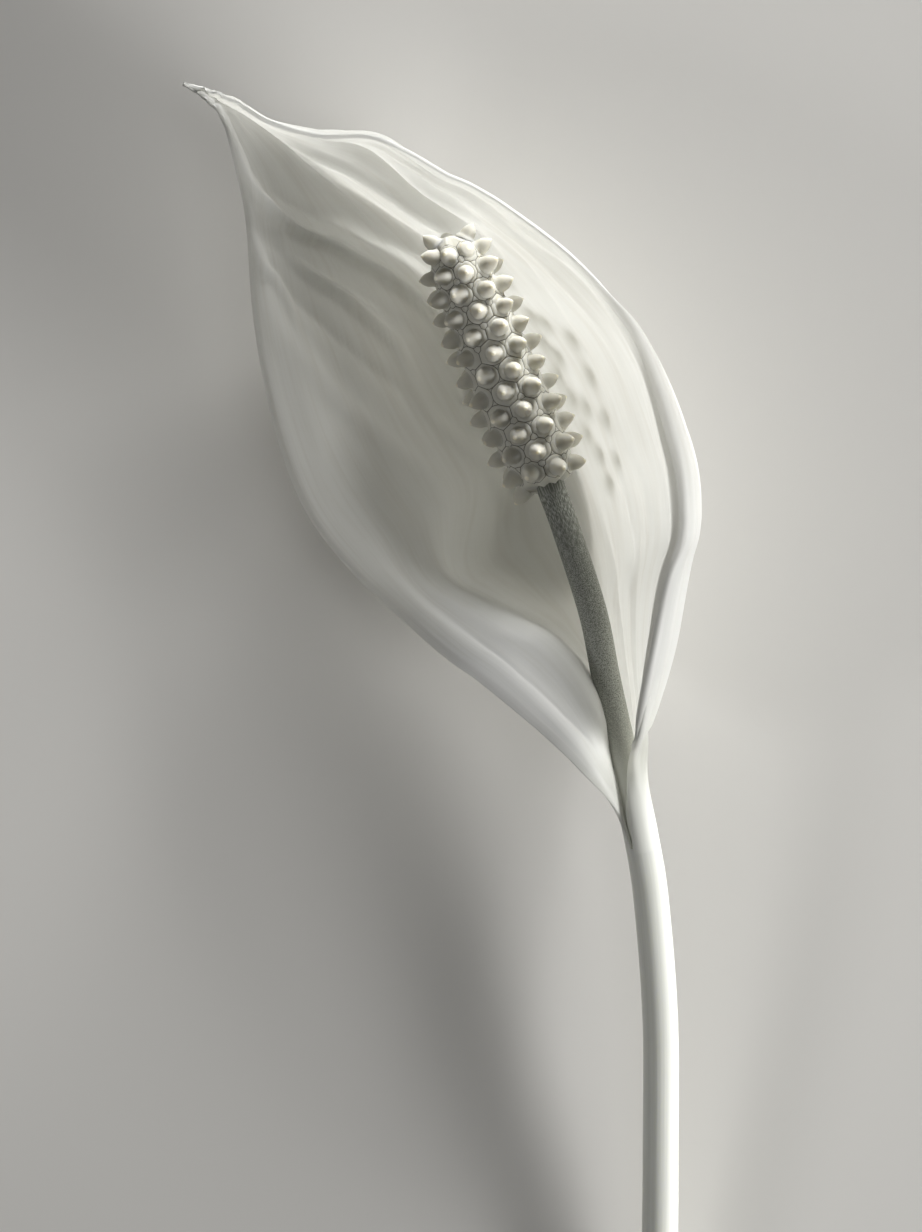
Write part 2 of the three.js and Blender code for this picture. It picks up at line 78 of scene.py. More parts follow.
# The spathe's cross-sections from the node to the tip: midrib, left edge, right edge and the
# widths of the two rolled borders. A border flares outwards, or curls inwards if negative.
SECTIONS = (
    ((15.2, -40.2, 10.6), (14.0, -40.8, 13.2), (14.2, -38.3, 15.0), (0, 0)),
    ((14.2, -35.5, 10.0), (11.4, -36.6, 16.0), (14.9, -32.2, 17.6), (0.6, 1.6)),
    ((12.9, -29.8, 7.1), (7.3, -32.5, 18.2), (16.8, -26.7, 22.8), (1.0, 2.6)),
    ((11.7, -24.1, 4.0), (3.0, -28.5, 18.7), (18.6, -20.3, 26.6), (1.2, 3.3)),
    ((10.1, -17.5, 1.4), (-2.2, -24.3, 18.7), (19.9, -12.9, 28.2), (1.3, 3.0)),
    ((9.1, -13.2, 0.4), (-5.8, -21.8, 18.2), (21.0, -8.1, 28.2), (1.3, 2.4)),
    ((7.2, -7.0, -0.3), (-10.5, -17.6, 17.1), (20.8, -1.1, 27.0), (1.2, 2.3)),
    ((4.6, -0.6, -0.6), (-15.4, -12.8, 15.8), (18.4, 6.2, 25.3), (1.1, 1.9)),
    ((1.0, 6.4, -0.6), (-20.0, -6.5, 14.6), (14.1, 13.8, 23.0), (1.0, 0.9)),
    ((-3.2, 13.0, 0.5), (-22.8, 0.7, 14.0), (8.2, 20.3, 21.2), (0.9, 0.6)),
    ((-7.6, 19.4, 2.7), (-24.6, 8.3, 13.8), (1.2, 25.6, 19.8), (0.8, 0.5)),
    ((-12.4, 24.2, 5.5), (-25.6, 15.0, 14.0), (-4.9, 29.3, 18.7), (0.7, 0.3)),
    ((-17.4, 28.6, 9.0), (-26.1, 21.8, 14.6), (-12.2, 32.9, 17.9), (0.6, -0.4)),
    ((-21.4, 32.3, 12.0), (-26.7, 27.5, 15.4), (-18.9, 33.2, 17.6), (0.5, -0.6)),
    ((-25.3, 35.1, 14.2), (-28.0, 32.2, 16.3), (-24.2, 34.8, 17.6), (0.3, -0.4)),
    ((-29.1, 37.0, 16.1), (-29.7, 36.2, 16.9), (-28.4, 37.4, 17.5), (0.1, -0.1)),
    ((-33.0, 38.8, 17.2), (-33.3, 38.6, 17.3), (-33.0, 39.1, 17.4), (0, 0)),
)
LAST_SECTION = len(SECTIONS) - 1
SECTION_STEP = 5.5  # about, in millimetres
# A wing's cross-section between midrib and border: [share of the way out, share of the way up].
# The right wing is a bowl with a steep wall. The left one drops from a ledge into the trough beside
# the stipe, and the ledge runs outwards and away as the sections go up. Beyond it both are shallow.
DEEP_RIGHT = ((0.33, 0.06), (0.67, 0.33), (0.91, 0.7))
SHALLOW_RIGHT = ((0.33, 0.16), (0.64, 0.46), (0.86, 0.77))
SHALLOW_LEFT = ((0.33, 0.2), (0.63, 0.6), (0.85, 0.91))
LEDGE = (  # [section, share of the way out]
    (1, 0.48), (1.5, 0.34), (2, 0.26), (2.5, 0.2), (2.9, 0.17), (3.2, 0.19), (3.7, 0.31),
    (5.2, 0.55), (6.35, 0.76),
)
LEDGE_UP = (0.12, 0.82, 0.99)  # inside the drop, on the ledge's brink and halfway from it to the border
BASE_BULGE = 1.5  # how far the right wing swells out beside the stipe
LIP_RISE = (0.5, 0.22)  # a flared border's crest over its edge, left and right, for each millimetre of width
LIP_HANGS = 0.65  # how far the right edge hangs below its crest, in the same way
CURL_DROP = 0.9  # a curled border's crest under its edge, in the same way
PLAIN_LIP = (0.8, 0.4)  # a flared and a curled border narrower than this run straight on from the blade
TIP_PINCH = 0.7  # how much narrower the dry end of the tip is
# How far each edge waves out, in millimetres: [section, how far].
EDGE_WAVES = {
    "left": (
        (1, 0), (2, -0.4), (3.2, -0.3), (5, -0.4), (6.5, -0.3), (7.5, -0.1), (8.7, 0.1), (11.5, 0.2),
        (13, 0),
    ),
    "right": (
        (4, 0), (4.5, -0.15), (5.2, 0.05), (6.5, -0.25), (7.4, 0), (9.4, 0), (10.2, 0.15), (10.7, 0.1),
        (11, -0.2), (11.5, -0.05), (12.3, 0.05), (13, 0), (13.7, 0.35), (14.8, 0),
    ),
}
# The sheath's two edges turn away from the front, in degrees, between the node and its mouth.
# Under the node it goes on into the peduncle's skin and sinks away in it.
SHEATH_TURN = {"right": (-43, -12), "left": (-43, -80)}
SHEATH_SINK = {"down": 1.6, "in": 0.05}
SHEATH_MOUTH = {"right": -33.4, "back": -37.0, "left": -38.5}
SHEATH_OPENS = (0.6, 1.7)  # in sections
FOOT_SECTIONS = 0.4  # what lies under the node, in sections
STIPE_GAP = 0.03  # the least room between the stipe and the blade
STIPE_BESIDE_TO = 5  # the blade passes close to the stipe up to this section
TABLE = 0.02  # how high over the floor the lowest points lie

# Folds of the blade: the sections and shares of a wing that the fold runs through, its half
# width and height in millimetres. Shares are negative on the left wing and 0 at the midrib.
FOLDS = (
    (((4, 0), (10, -0.03), (12, 0), (12.7, -0.03), (14.2, -0.07)), 0.22, -0.12),
    (((9.8, 0.34), (10.8, 0.29), (11.2, 0.28), (11.7, 0.24), (12.6, 0.19), (13.6, 0.2)), 0.7, 0.9),
    (((9.9, 0.41), (10.7, 0.37), (11.3, 0.37), (11.9, 0.4), (12.4, 0.44), (12.9, 0.5)), 1.0, -1.5),
    (((9.9, 0.53), (10.7, 0.5), (11.3, 0.53), (11.8, 0.57), (12.4, 0.63)), 1.1, 0.8),
    (
        (
            (9.3, -0.05), (9.8, -0.08), (10.5, -0.13), (11.2, -0.21), (12, -0.42), (12.5, -0.55),
            (13.3, -0.85),
        ),
        0.7, 1.5,
    ),
    (((9.4, 0), (10, -0.02), (10.7, -0.06), (11.4, -0.13), (12, -0.26), (12.6, -0.4)), 0.8, -0.6),
    (((9.3, -0.13), (10, -0.2), (10.7, -0.28), (11.4, -0.42), (12, -0.64)), 0.9, -0.35),
    (((10.9, -0.54), (11.3, -0.6), (11.5, -0.68), (12.2, -0.87)), 0.6, 0.9),
    (((9.4, -0.2), (10.4, -0.29), (11, -0.37), (11.6, -0.47)), 0.75, 1.0),
    (((8.8, -0.25), (10.2, -0.41), (11, -0.52), (11.5, -0.62)), 0.9, -0.5),
    (((10, 0.06), (10.4, 0.04), (10.9, -0.03)), 0.9, 0.9),
    (((9.7, 0.13), (10.4, 0.14), (11.2, 0.09), (12, 0.04)), 0.7, -0.7),
    (((7.6, -0.3), (8.8, -0.42), (10.2, -0.6), (11, -0.75)), 1.6, 0.35),
    (((4.4, 0.02), (5.5, -0.01), (6.6, -0.09), (8.3, -0.21)), 0.8, 0.25),
    (((1.6, -0.5), (2.8, -0.6), (3.7, -0.62), (5.2, -0.6)), 0.3, -0.12),
    (((2.2, 0.29), (3.6, 0.27), (4.8, 0.23), (5.6, 0.21)), 0.5, -0.4),
    (((2.4, 0.38), (3.8, 0.38), (5.2, 0.37), (6.2, 0.35)), 0.45, 0.35),
    (((8.4, 0.42), (9.6, 0.5), (10.8, 0.56), (12, 0.6)), 0.8, -0.4),
    (((8, 0.56), (9.4, 0.6), (10.6, 0.64), (11.8, 0.68)), 0.8, 0.4),
    (((7.6, 0.68), (9, 0.7), (10.4, 0.74), (11.6, 0.8)), 0.8, -0.35),
)

# Dents where the pistils pressed on the right wing in the bud, each with a painted shadow of a pistil round
# it: [section, share].
DENTS = (
    (9.3, 0.34), (8.75, 0.31), (8.55, 0.34), (8.38, 0.28), (8.1, 0.3), (8.2, 0.39), (7.9, 0.26),
    (7.68, 0.38), (7.55, 0.27), (7.35, 0.31), (7.1, 0.37), (7.05, 0.27), (6.7, 0.29), (6.5, 0.36),
    (6.25, 0.29),
)
DENT = (0.8, 0.3)  # its radius and depth
PUCKERS = 0.2  # the heights of the finer relief
WAVES = 0.08
VEINS = 0.008
CRUMPLE = 0.25

# Creases and rolls along the borders: the share and half width, the height, and the sections
# between which the relief comes and goes.
BORDERS = (
    (0.77, 0.5, -0.7, (0.8, 2.5), (8, 9.5)),
    (0.9, 0.75, 0.35, (0.8, 2.5), (8, 9.5)),
    (-0.86, 0.45, 0.5, (12, 13.5), (15.2, 15.7)),
)

# The spadix: its ends, and its outline as [distance from the free end, radius].
SPADIX_TIP = (-5.35, 22.6, 19.2)
SPADIX_FOOT = (5.7, -3.7, 17.35)
SPADIX_OUTLINE = (
    (0, 0), (0.12, 0.8), (0.4, 1.5), (0.9, 2.05), (1.8, 2.55), (3.5, 2.95), (6, 3.2), (10, 3.42),
    (15, 3.62), (20, 3.7), (24, 3.6), (26.6, 3.25), (27.9, 2.7), (28.5, 2.0), (28.8, 1.2),
)
SPADIX_END = 28.8
# The florets stand in one spiral, each a rise and a turn in degrees on from the last.
FLORET_RISE = 0.296
FLORET_TURN = 47.57
FLORET_FIRST = -47
FLORET_LAST = 43
FLORET_ZERO = (17.0, 15.9)  # skin length from the free end and turn of number 0
FLORET_STRAY = (0.14, 2.2)
# The corners of a floret's cell: as far down as a floret that many numbers on, and as far
# round but for some thirds of a turn.
CELL_CORNERS = ((3, -1), (-2, 1), (-5, 2), (-3, 1), (2, -1), (5, -2))
# The last florets, on the free end itself: turn, and how far from the end's middle.
CROWN = ((-95, 1.5), (95, 2.2), (180, 2.1))
UNGROWN = (-45,)  # florets whose pistil stayed a low dome
UNGROWN_RISE = 0.2  # the dome's height, as a share of a grown pistil's
# A pistil from its foot to its beak: [radius, height].
PISTIL = (
    (1.0, -0.02), (0.92, 0.05), (0.87, 0.18), (0.85, 0.36), (0.82, 0.56), (0.76, 0.77),
    (0.66, 0.97), (0.53, 1.16), (0.39, 1.33), (0.25, 1.48), (0.14, 1.59), (0.09, 1.64),
)
PISTIL_TIP = 1.69
# On the free end the pistils are smaller, each over a round collar sunk in the skin.
CROWN_SIZE = 0.95
CROWN_COLLAR = ((0.7, -1.3), (1.08, -0.8), (1.16, -0.5), (1.15, -0.32), (1.1, -0.2), (1.0, -0.1))
# The crown's seam rings get the same painted shade lines as the seams between the tepals.
CROWN_SEAMS = (2, 6)  # the rings, from the collar's root up, that show as seams
TEPAL_RINGS = 10
TEPAL_SWELLING = 0.05  # how far a tepal's middle stands over its sides
PISTIL_CREASE = 0.05  # the depth of the crease round a pistil's foot
PISTIL_LEAN = 0.1  # the furthest that a beak leans
SIZE_STRAY = 0.07  # a pistil's size, either way
SEAM_DEPTH = 0.07
SEAM_WIDTH = 0.1
CORNER_CUT = 0.42  # how far in from a cell's corner the floret's own outline passes

# The camera looks straight down from 800 mm over the height where the picture has 9.5 pixels to
# the millimetre. Its place is the picture's middle.
CAMERA_AT = (-3.79, -17.26)
CAMERA_FOCUS_HEIGHT = 18
CAMERA_DISTANCE = 800
PIXELS_PER_MM = 9.5
PICTURE_HEIGHT = 1232

# The lights: width and height, and place, in metres. A grid keeps each of them on the flower.
LIGHTS = {
    "strip": ((0.14, 0.06), (0.205, 0.553, 0.043)),
    "top": ((0.14, 0.12), (0.196, 0.529, 0.187)),
    "low": ((0.28, 0.12), (0.478, -0.336, 0.157)),
    "over": ((0.2, 0.2), (0.104, -0.01, 0.603)),
    "rim": ((0.14, 0.12), (-0.498, -0.191, 0.294)),
}
LIGHTS_AIM = (0, -0.01, 0.012)
BEAM = 60  # degrees
FLOOR_HALF = 4.0  # metres


def linear(hex_colour):
    """A colour written as sRGB hex, as the linear values that shaders work with."""
    channels = [int(hex_colour[i : i + 2], 16) / 255 for i in (1, 3, 5)]
    return tuple(c / 12.92 if c <= 0.04045 else ((c + 0.055) / 1.055) ** 2.4 for c in channels) + (1.0,)


def colour(name, description, hex_colour):
    """A colour setting for the panel."""
    return FloatVectorProperty(
        name=name, description=description, subtype="COLOR", size=4, min=0, max=1, default=linear(hex_colour)
    )


def power(name, description, watts):
    """A light's setting for the panel."""
    return FloatProperty(name=name, description=description, default=watts, min=0, unit="POWER")


def length(name, description, millimetres, least):
    """A small length as a setting for the panel."""
    return FloatProperty(
        name=name, description=description, default=millimetres * MM, min=least * MM,
        unit="LENGTH", precision=5,
    )


class SpatheSettings(PropertyGroup):
    """Sizes and colours of the spathe"""

    thickness: length("Thickness", "Of the blade", 0.55, 0.3)
    margin: length("Margin", "Thickness at its edge", 0.3, 0.1)
    rows: IntProperty(name="Rows", description="Of faces from the node to the tip", default=230, min=40)
    columns: IntProperty(name="Columns", description="Of faces from edge to edge", default=180, min=40)
    tissue: colour("Tissue", "White tissue of the blade", "#f3f3f0")
    vein: colour("Veins", "Tissue over the veins", "#efefeb")
    vein_glow: colour("Veins lit through", "Tissue over the veins, where light shines through", "#eeede9")
    # Painted shadow of the pistils: the colour that the light shining through takes round each dent.
    pressed: colour("Pressed", "Tissue bruised by the pistils", "#d0cfc8")
    foot: colour("Foot", "Sheath where it joins the stalk", "#eeefe7")


class SpadixSettings(PropertyGroup):
    """Sizes and colours of the spadix"""

    spokes: IntProperty(name="Spokes", description="Of faces to a side of a floret's cell", default=7, min=2)
    tepal: colour("Tepals", "Fleshy tepal plates", "#d2d0c5")
    seam: colour("Seams", "Shadowed lines between tepals", "#7b796c")
    pistil: colour("Pistils", "Pistil heads", "#d3d0c4")
    beak: colour("Beaks", "Dry stigma on each pistil", "#f3ecd6")


class StalkSettings(PropertyGroup):
    """Sizes and colours of the stipe and the peduncle"""

    sides: IntProperty(name="Sides", description="Of a stalk's mesh", default=56, min=12)
    stipe: colour("Stipe", "Dark rind of the stipe", "#6f7168")
    stipe_fleck: colour("Flecks", "Pale cells in the stipe's rind", "#c0c2b8")
    stipe_foot: colour("Stipe's foot", "Bleached foot inside the sheath", "#eff0e6")
    peduncle: colour("Peduncle", "Smooth skin of the flower stalk", "#eff0e8")
    cut: colour("Cut", "Wet face where the stalk was cut", "#d7dfba")


class StageSettings(PropertyGroup):
    """Floor and lights"""

    floor: colour("Floor", "Matt pale floor", "#e2e0db")
    strip: power("Strip", "The light that stands on the floor beyond the tip", 0.45)
    top: power("Top", "The light above the strip", 0.18)
    low: power("Low", "The wide light at the lower right", 0.48)
    over: power("Over", "The light overhead", 0.03)
    rim: power("Rim", "The light at the lower left", 0.06)
    sky: FloatProperty(name="Sky", description="Strength of the even light all round", default=0.008, min=0)


def mix(a, b, share):
    return a + (b - a) * share


def smooth_step(value, low, high):
    share = np.clip((value - low) / (high - low), 0, 1)
    return share * share * (3 - 2 * share)


def unit(vectors):
    return vectors / np.linalg.norm(vectors, axis=-1, keepdims=True)


def smooth_curve(points, shares, held_ends=False):
    """Places on the smooth curve through evenly spaced points, at shares of the way along it."""
    points = np.asarray(points, float)
    if held_ends:
        padded = np.concatenate([points[:1], points, points[-1:]])
    else:
        padded = np.concatenate([2 * points[:1] - points[1:2], points, 2 * points[-1:] - points[-2:-1]])
    at = np.clip(shares, 0, 1) * (len(points) - 1)
    first = np.minimum(at.astype(int), len(points) - 2)
    t = (at - first).reshape(at.shape + (1,) * (points.ndim - 1))
    a, b, c, d = (padded[first + k] for k in range(4))
    return 0.5 * (2 * b + (c - a) * t + (2 * a - 5 * b + 4 * c - d) * t**2 + (3 * b - a - 3 * c + d) * t**3)


def grown_noise(across, along, cells, seed):
    """Smooth seeded relief from -1 to 1 over a lattice of cells. Both places run from 0 to 1."""
    lattice = np.random.default_rng(seed).uniform(-1, 1, (cells[0] + 2, cells[1] + 2))
    x = np.clip(across, 0, 1) * cells[0]
    y = np.clip(along, 0, 1) * cells[1]
    i = x.astype(int)
    j = y.astype(int)
    u = smooth_step(x - i, 0, 1)
    v = smooth_step(y - j, 0, 1)
    return mix(mix(lattice[i, j], lattice[i + 1, j], u), mix(lattice[i, j + 1], lattice[i + 1, j + 1], u), v)


def stalk_frame(shares):
    """Centre, right and up of the stalk at shares of its centre line."""
    step = 1e-4
    centre = smooth_curve(STALK_LINE, shares)
    along = unit(smooth_curve(STALK_LINE, shares + step) - smooth_curve(STALK_LINE, shares - step))
    right = unit(np.cross((0, 0, 1), along))
    return centre, right, np.cross(along, right)


LINE_SHARES = np.linspace(0, 1, 4001)
LINE_Y = smooth_curve(STALK_LINE, LINE_SHARES)[:, 1]


def stalk_share_at(y):
    """How far along its centre line the stalk reaches a given y."""
    return np.interp(-np.asarray(y, float), -LINE_Y, LINE_SHARES)


def round_stalk(shares, turns, radii):
    """Places round the stalk, turned from its upper side."""
    centre, right, up = stalk_frame(shares)
    radii = np.asarray(radii)[..., None]
    return centre + radii * (right * np.sin(turns)[..., None] + up * np.cos(turns)[..., None])


STIPE_END = float(stalk_share_at(NODE_Y))


def stipe_radius(shares):
    return mix(STIPE_FULL, STIPE_FOOT, smooth_step(shares / STIPE_END, *STIPE_NARROWS))


def ledge_share(section):
    """How far out the ledge's brink lies, with the table's corners rounded off."""
    near = (-0.5, -0.25, 0, 0.25, 0.5)
    return np.mean([np.interp(section + apart, *zip(*LEDGE)) for apart in near], axis=0)


def open_blade(section, across):
    """The open blade's middle surface, from its cross-sections."""
    shares = np.maximum(section, 0) / LAST_SECTION
    mid, left, right = (smooth_curve([s[k] for s in SECTIONS], shares) for k in range(3))
    left = left + unit((left - mid) * (1, 1, 0)) * np.interp(section, *zip(*EDGE_WAVES["left"]))[:, None]
    right = right + unit((right - mid) * (1, 1, 0)) * np.interp(section, *zip(*EDGE_WAVES["right"]))[:, None]
    lips = smooth_curve([s[3] for s in SECTIONS], shares)
    right_trough = (smooth_step(section, 0.5, 4) * (1 - smooth_step(section, 7, 10.5)))[:, None]
    left_trough = (smooth_step(section, 0.5, 2.5) * (1 - smooth_step(section, 5.8, 7.4)))[:, None]
    ledge = ledge_share(section)[:, None]
    deep_left = zip((np.maximum(ledge - 0.06, 0.03), ledge + 0.03, mix(ledge, 1, 0.68)), LEDGE_UP)
    base_bulge = BASE_BULGE * (1 - smooth_step(section, 1.5, 4.5))[:, None]
    wings = []
    shapes = (
        (left, 0 * base_bulge, left_trough, SHALLOW_LEFT, deep_left),
        (right, base_bulge, right_trough, SHALLOW_RIGHT, DEEP_RIGHT),
    )
    for side, (edge, bulge, trough, shallow_wing, deep_wing) in enumerate(shapes):
        inward = unit((mid - edge) * (1, 1, 0))
        lip = lips[:, side : side + 1]
        crest = edge + inward * lip
        crest[:, 2:] += np.where(lip > 0, LIP_RISE[side], CURL_DROP) * lip
        points = []
        for shallow, deep in zip(shallow_wing, deep_wing):
            out = mix(shallow[0], deep[0], trough)
            up = mix(shallow[1], deep[1], trough)
            point = mix(mid, crest, np.concatenate([out, out, up], axis=1))
            point[:, :1] += 4 * bulge * up * (1 - up)
            points.append(point)
        hang = LIP_HANGS * side * np.maximum(lip, 0)
        edge = edge - np.concatenate([0 * lip, 0 * lip, hang], axis=1)
        plain = np.exp(-((lip / np.where(lip > 0, *PLAIN_LIP)) ** 2))
        plain = plain * (side if side else smooth_step(section, 13, 14.5)[:, None])
        wings.append([*points, mix(crest, (points[-1] + edge) / 2, plain), edge])
    rails = np.stack([*wings[0][::-1], mid, *wings[1]])
    blade = smooth_curve(rails, (across + 1) / 2).transpose(1, 0, 2)
    pinched = 1 - TIP_PINCH * smooth_step(section, LAST_SECTION - 0.9, LAST_SECTION)[:, None, None]
    return mix(mid[:, None], blade, pinched)


def sheath(section, across, thickness):
    """The sheath's middle surface: round the stalk, slit at its front left."""
    section = section[:, None]
    side = np.abs(across)[None, :]
    sunk = smooth_step(-section, 0, FOOT_SECTIONS)
    up = np.clip(section, 0, 1)
    is_left = (across < 0)[None, :]
    edge = np.where(is_left, mix(*SHEATH_TURN["left"], up), mix(*SHEATH_TURN["right"], up))
    turn = np.radians(mix(np.where(is_left, -180.0, 180.0), edge, side))
    mouth = mix(SHEATH_MOUTH["back"], np.where(is_left, SHEATH_MOUTH["left"], SHEATH_MOUTH["right"]), side)
    under_node = NODE_Y + section / FOOT_SECTIONS * SHEATH_SINK["down"]
    y = np.where(section < 0, under_node, mix(NODE_Y, mouth, section))
    radius = PEDUNCLE_TOP - thickness / 2 - SHEATH_SINK["in"] * sunk
    return round_stalk(stalk_share_at(y), turn, radius + 0 * turn)


def spathe_middle(section, across, thickness):
    """The middle of the spathe's thickness, without its folds."""
    points = open_blade(section, across)
    closed = (1 - smooth_step(section, *SHEATH_OPENS))[:, None, None]
    points = mix(points, sheath(section, across, thickness), closed)
    shares = stalk_share_at(points[..., 1])
    centre = smooth_curve(STALK_LINE, shares)
    away = points - centre
    distance = np.linalg.norm(away, axis=-1)
    room = stipe_radius(shares) + STIPE_GAP + thickness / 2
    near = (distance < room) & (section < STIPE_BESIDE_TO)[:, None]
    points[near] = (centre + away * (room / distance)[..., None])[near]
    return points


def surface_normals(points):
    return unit(np.cross(np.gradient(points, axis=1), np.gradient(points, axis=0)))


def pressed_marks(section, across, span):
    """How deep the dent of a pistil is at each place, as a share; the same share darkens the painted shadow
    of the pistils.
    """
    marks = 0 * span
    for at_section, at_share in DENTS:
        apart = np.hypot((across[None, :] - at_share) * span, (section - at_section) * SECTION_STEP)
        marks += np.exp(-((apart / DENT[0]) ** 2))
    return marks


def dense_tissue(section, across):
    """Painted light: how much more light the blade is made to throw back, letting less through, which
    brightens it most on the ledge and the right roll near the base, some along the edges.
    """
    side = np.abs(across)[None, :]
    section = section[:, None]
    is_left = (across < 0)[None, :]
    near_base = smooth_step(section, 0.5, 2) * (1 - smooth_step(section, 4.2, 6.8))
    inner = np.where(is_left, 0.26 + 0.08 * smooth_step(section, 3, 4.5), 0.72)
    border = smooth_step(side, inner - 0.04, inner + 0.08) * np.where(is_left, 1, 0.5) * near_base
    near_tip = smooth_step(section, 11.5, 13.5)
    edge = smooth_step(side, 0.96 - 0.14 * near_tip, 0.99 - 0.08 * near_tip) * 0.7
    return np.maximum(border, edge)


def spathe_relief(section, across, span):
    """Height of the folds, puckers and veins over the blade, in millimetres."""
    section = section[:, None]
    relief = np.zeros((len(section), len(across)))
    for path, wide, height in FOLDS:
        sections, shares = zip(*path)
        at = np.interp(section[:, 0], sections, shares)[:, None]
        fade = smooth_step(section, sections[0] - 1, sections[0] + 1)
        fade = fade * (1 - smooth_step(section, sections[-1] - 1, sections[-1] + 1))
        relief += height * fade * np.exp(-(((across[None, :] - at) * span / wide) ** 2))
    relief = relief * (1 - smooth_step(np.abs(across), 0.72, 0.92))[None, :]
    u = (across[None, :] + 1) / 2 + 0 * section
    v = np.maximum(section, 0) / LAST_SECTION + 0 * across[None, :]
    open_part = smooth_step(section, 2.5, 5) * (1 - smooth_step(section, 13, 15.5))
    right_wall = smooth_step(across, 0.2, 0.45)[None, :] * (1 - smooth_step(across, 0.85, 0.97))[None, :]
    puckers = grown_noise(u, v + 0.06 * u, (34, 20), seed=3) * right_wall * PUCKERS
    waves = grown_noise(u, v - 0.05 * u, (20, 9), seed=5) * WAVES
    veins = grown_noise(u, v, (80, 12), seed=8) * VEINS
    relief -= DENT[1] * pressed_marks(section, across, span)
    relief += grown_noise(u, v, (9, 140), seed=4) * CRUMPLE * smooth_step(section, 14.2, 15.3)
    for at, wide, height, comes, goes in BORDERS:
        border = smooth_step(section, *comes) * (1 - smooth_step(section, *goes))
        relief += height * border * np.exp(-(((across[None, :] - at) * span / wide) ** 2))
    return relief + open_part * (puckers + waves + veins)


def closed_sheet(front, back):
    """Points and faces of a closed body between two grids of points."""
    rows, columns = front.shape[:2]
    number = np.arange(rows * columns).reshape(rows, columns)
    under = number + rows * columns

    def quads(a):
        return np.stack([a[:-1, :-1], a[:-1, 1:], a[1:, 1:], a[1:, :-1]], axis=-1).reshape(-1, 4)

    rim = np.concatenate([number[0], number[1:, -1], number[-1, -2::-1], number[-2:0:-1, 0]])
    next_on_rim = np.roll(rim, -1)
    side = np.stack([rim, rim + rows * columns, next_on_rim + rows * columns, next_on_rim], axis=-1)
    points = np.concatenate([front.reshape(-1, 3), back.reshape(-1, 3)])
    return points, np.concatenate([quads(number), quads(under)[:, ::-1], side])


def ring_walls(number):
    """Faces between rings, from the numbers of their points."""
    turned = np.roll(number, -1, axis=1)
    return np.stack([number[:-1], turned[:-1], turned[1:], number[1:]], axis=-1).reshape(-1, 4).tolist()


def fan(ring, middle):
    """Faces from the points of a ring to one point."""
    return np.stack([ring, np.roll(ring, -1), 0 * ring + middle], axis=-1).tolist()


def tube(rings):
    """Points and faces of a closed body from rings of points, with a fan at both ends."""
    number = np.arange(rings[..., 0].size).reshape(rings.shape[:2])
    points = np.concatenate([rings.reshape(-1, 3), rings[[0, -1]].mean(axis=1)])
    ends = fan(number[0, ::-1], number.size) + fan(number[-1], number.size + 1)
    return points, ring_walls(number) + ends


def add_piece(name, node, points, faces, materials, looks=None, growth=None, values=None):
    """Adds a smooth mesh, in millimetres, as a piece that stands for a node of the frame.

    looks are the faces' material numbers, growth is a UV map by point, and values are numbers by
    point under a name."""
    mesh = bpy.data.meshes.new(name)
    mesh.from_pydata((points * MM).tolist(), [], [[int(corner) for corner in face] for face in faces])
    mesh.polygons.foreach_set("material_index", looks or [0] * len(faces))
    mesh.polygons.foreach_set("use_smooth", [True] * len(faces))
    if growth is not None:
        corner_points = np.zeros(len(mesh.loops), int)
        mesh.loops.foreach_get("vertex_index", corner_points)
        layer = mesh.uv_layers.new(name="growth")
        layer.data.foreach_set("uv", growth[corner_points].ravel())
    for label, numbers in (values or {}).items():
        attribute = mesh.attributes.new(label, "FLOAT", "POINT")
        attribute.data.foreach_set("value", np.asarray(numbers, np.float32))
    for material in materials:
        mesh.materials.append(material)
    mesh.validate()
    mesh.update()
    piece = bpy.data.objects.new(name, mesh)
    bpy.context.scene.collection.objects.link(piece)
    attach(piece, "root")
    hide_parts(node)
    return piece


SMOOTH = {"interpolation_type": "SMOOTHSTEP"}  # settings of a MapRange node that eases in and out


def add_node(tree, kind, settings=None, links=None):
    """Adds a shader node. settings are fields or input values. links are inputs fed by a socket, or by
    a node through the first of its outputs that is in use."""
    node = tree.nodes.new("ShaderNode" + kind)
    for key, value in (settings or {}).items():
        if isinstance(key, int) or key in node.inputs:
            node.inputs[key].default_value = value
        else:
            setattr(node, key, value)
    for key, source in (links or {}).items():
        if isinstance(source, bpy.types.Node):
            source = next(socket for socket in source.outputs if socket.enabled)
        tree.links.new(source, node.inputs[key])
    return node


def new_material(surface, settings):
    """A material with the name of the function that adds its surface's nodes."""
    material = bpy.data.materials.new(surface.__name__)
    material.use_nodes = True
    tree = material.node_tree
    tree.nodes.clear()
    output = add_node(tree, "OutputMaterial")
    tree.links.new(surface(tree, settings).outputs[0], output.inputs["Surface"])
    return material


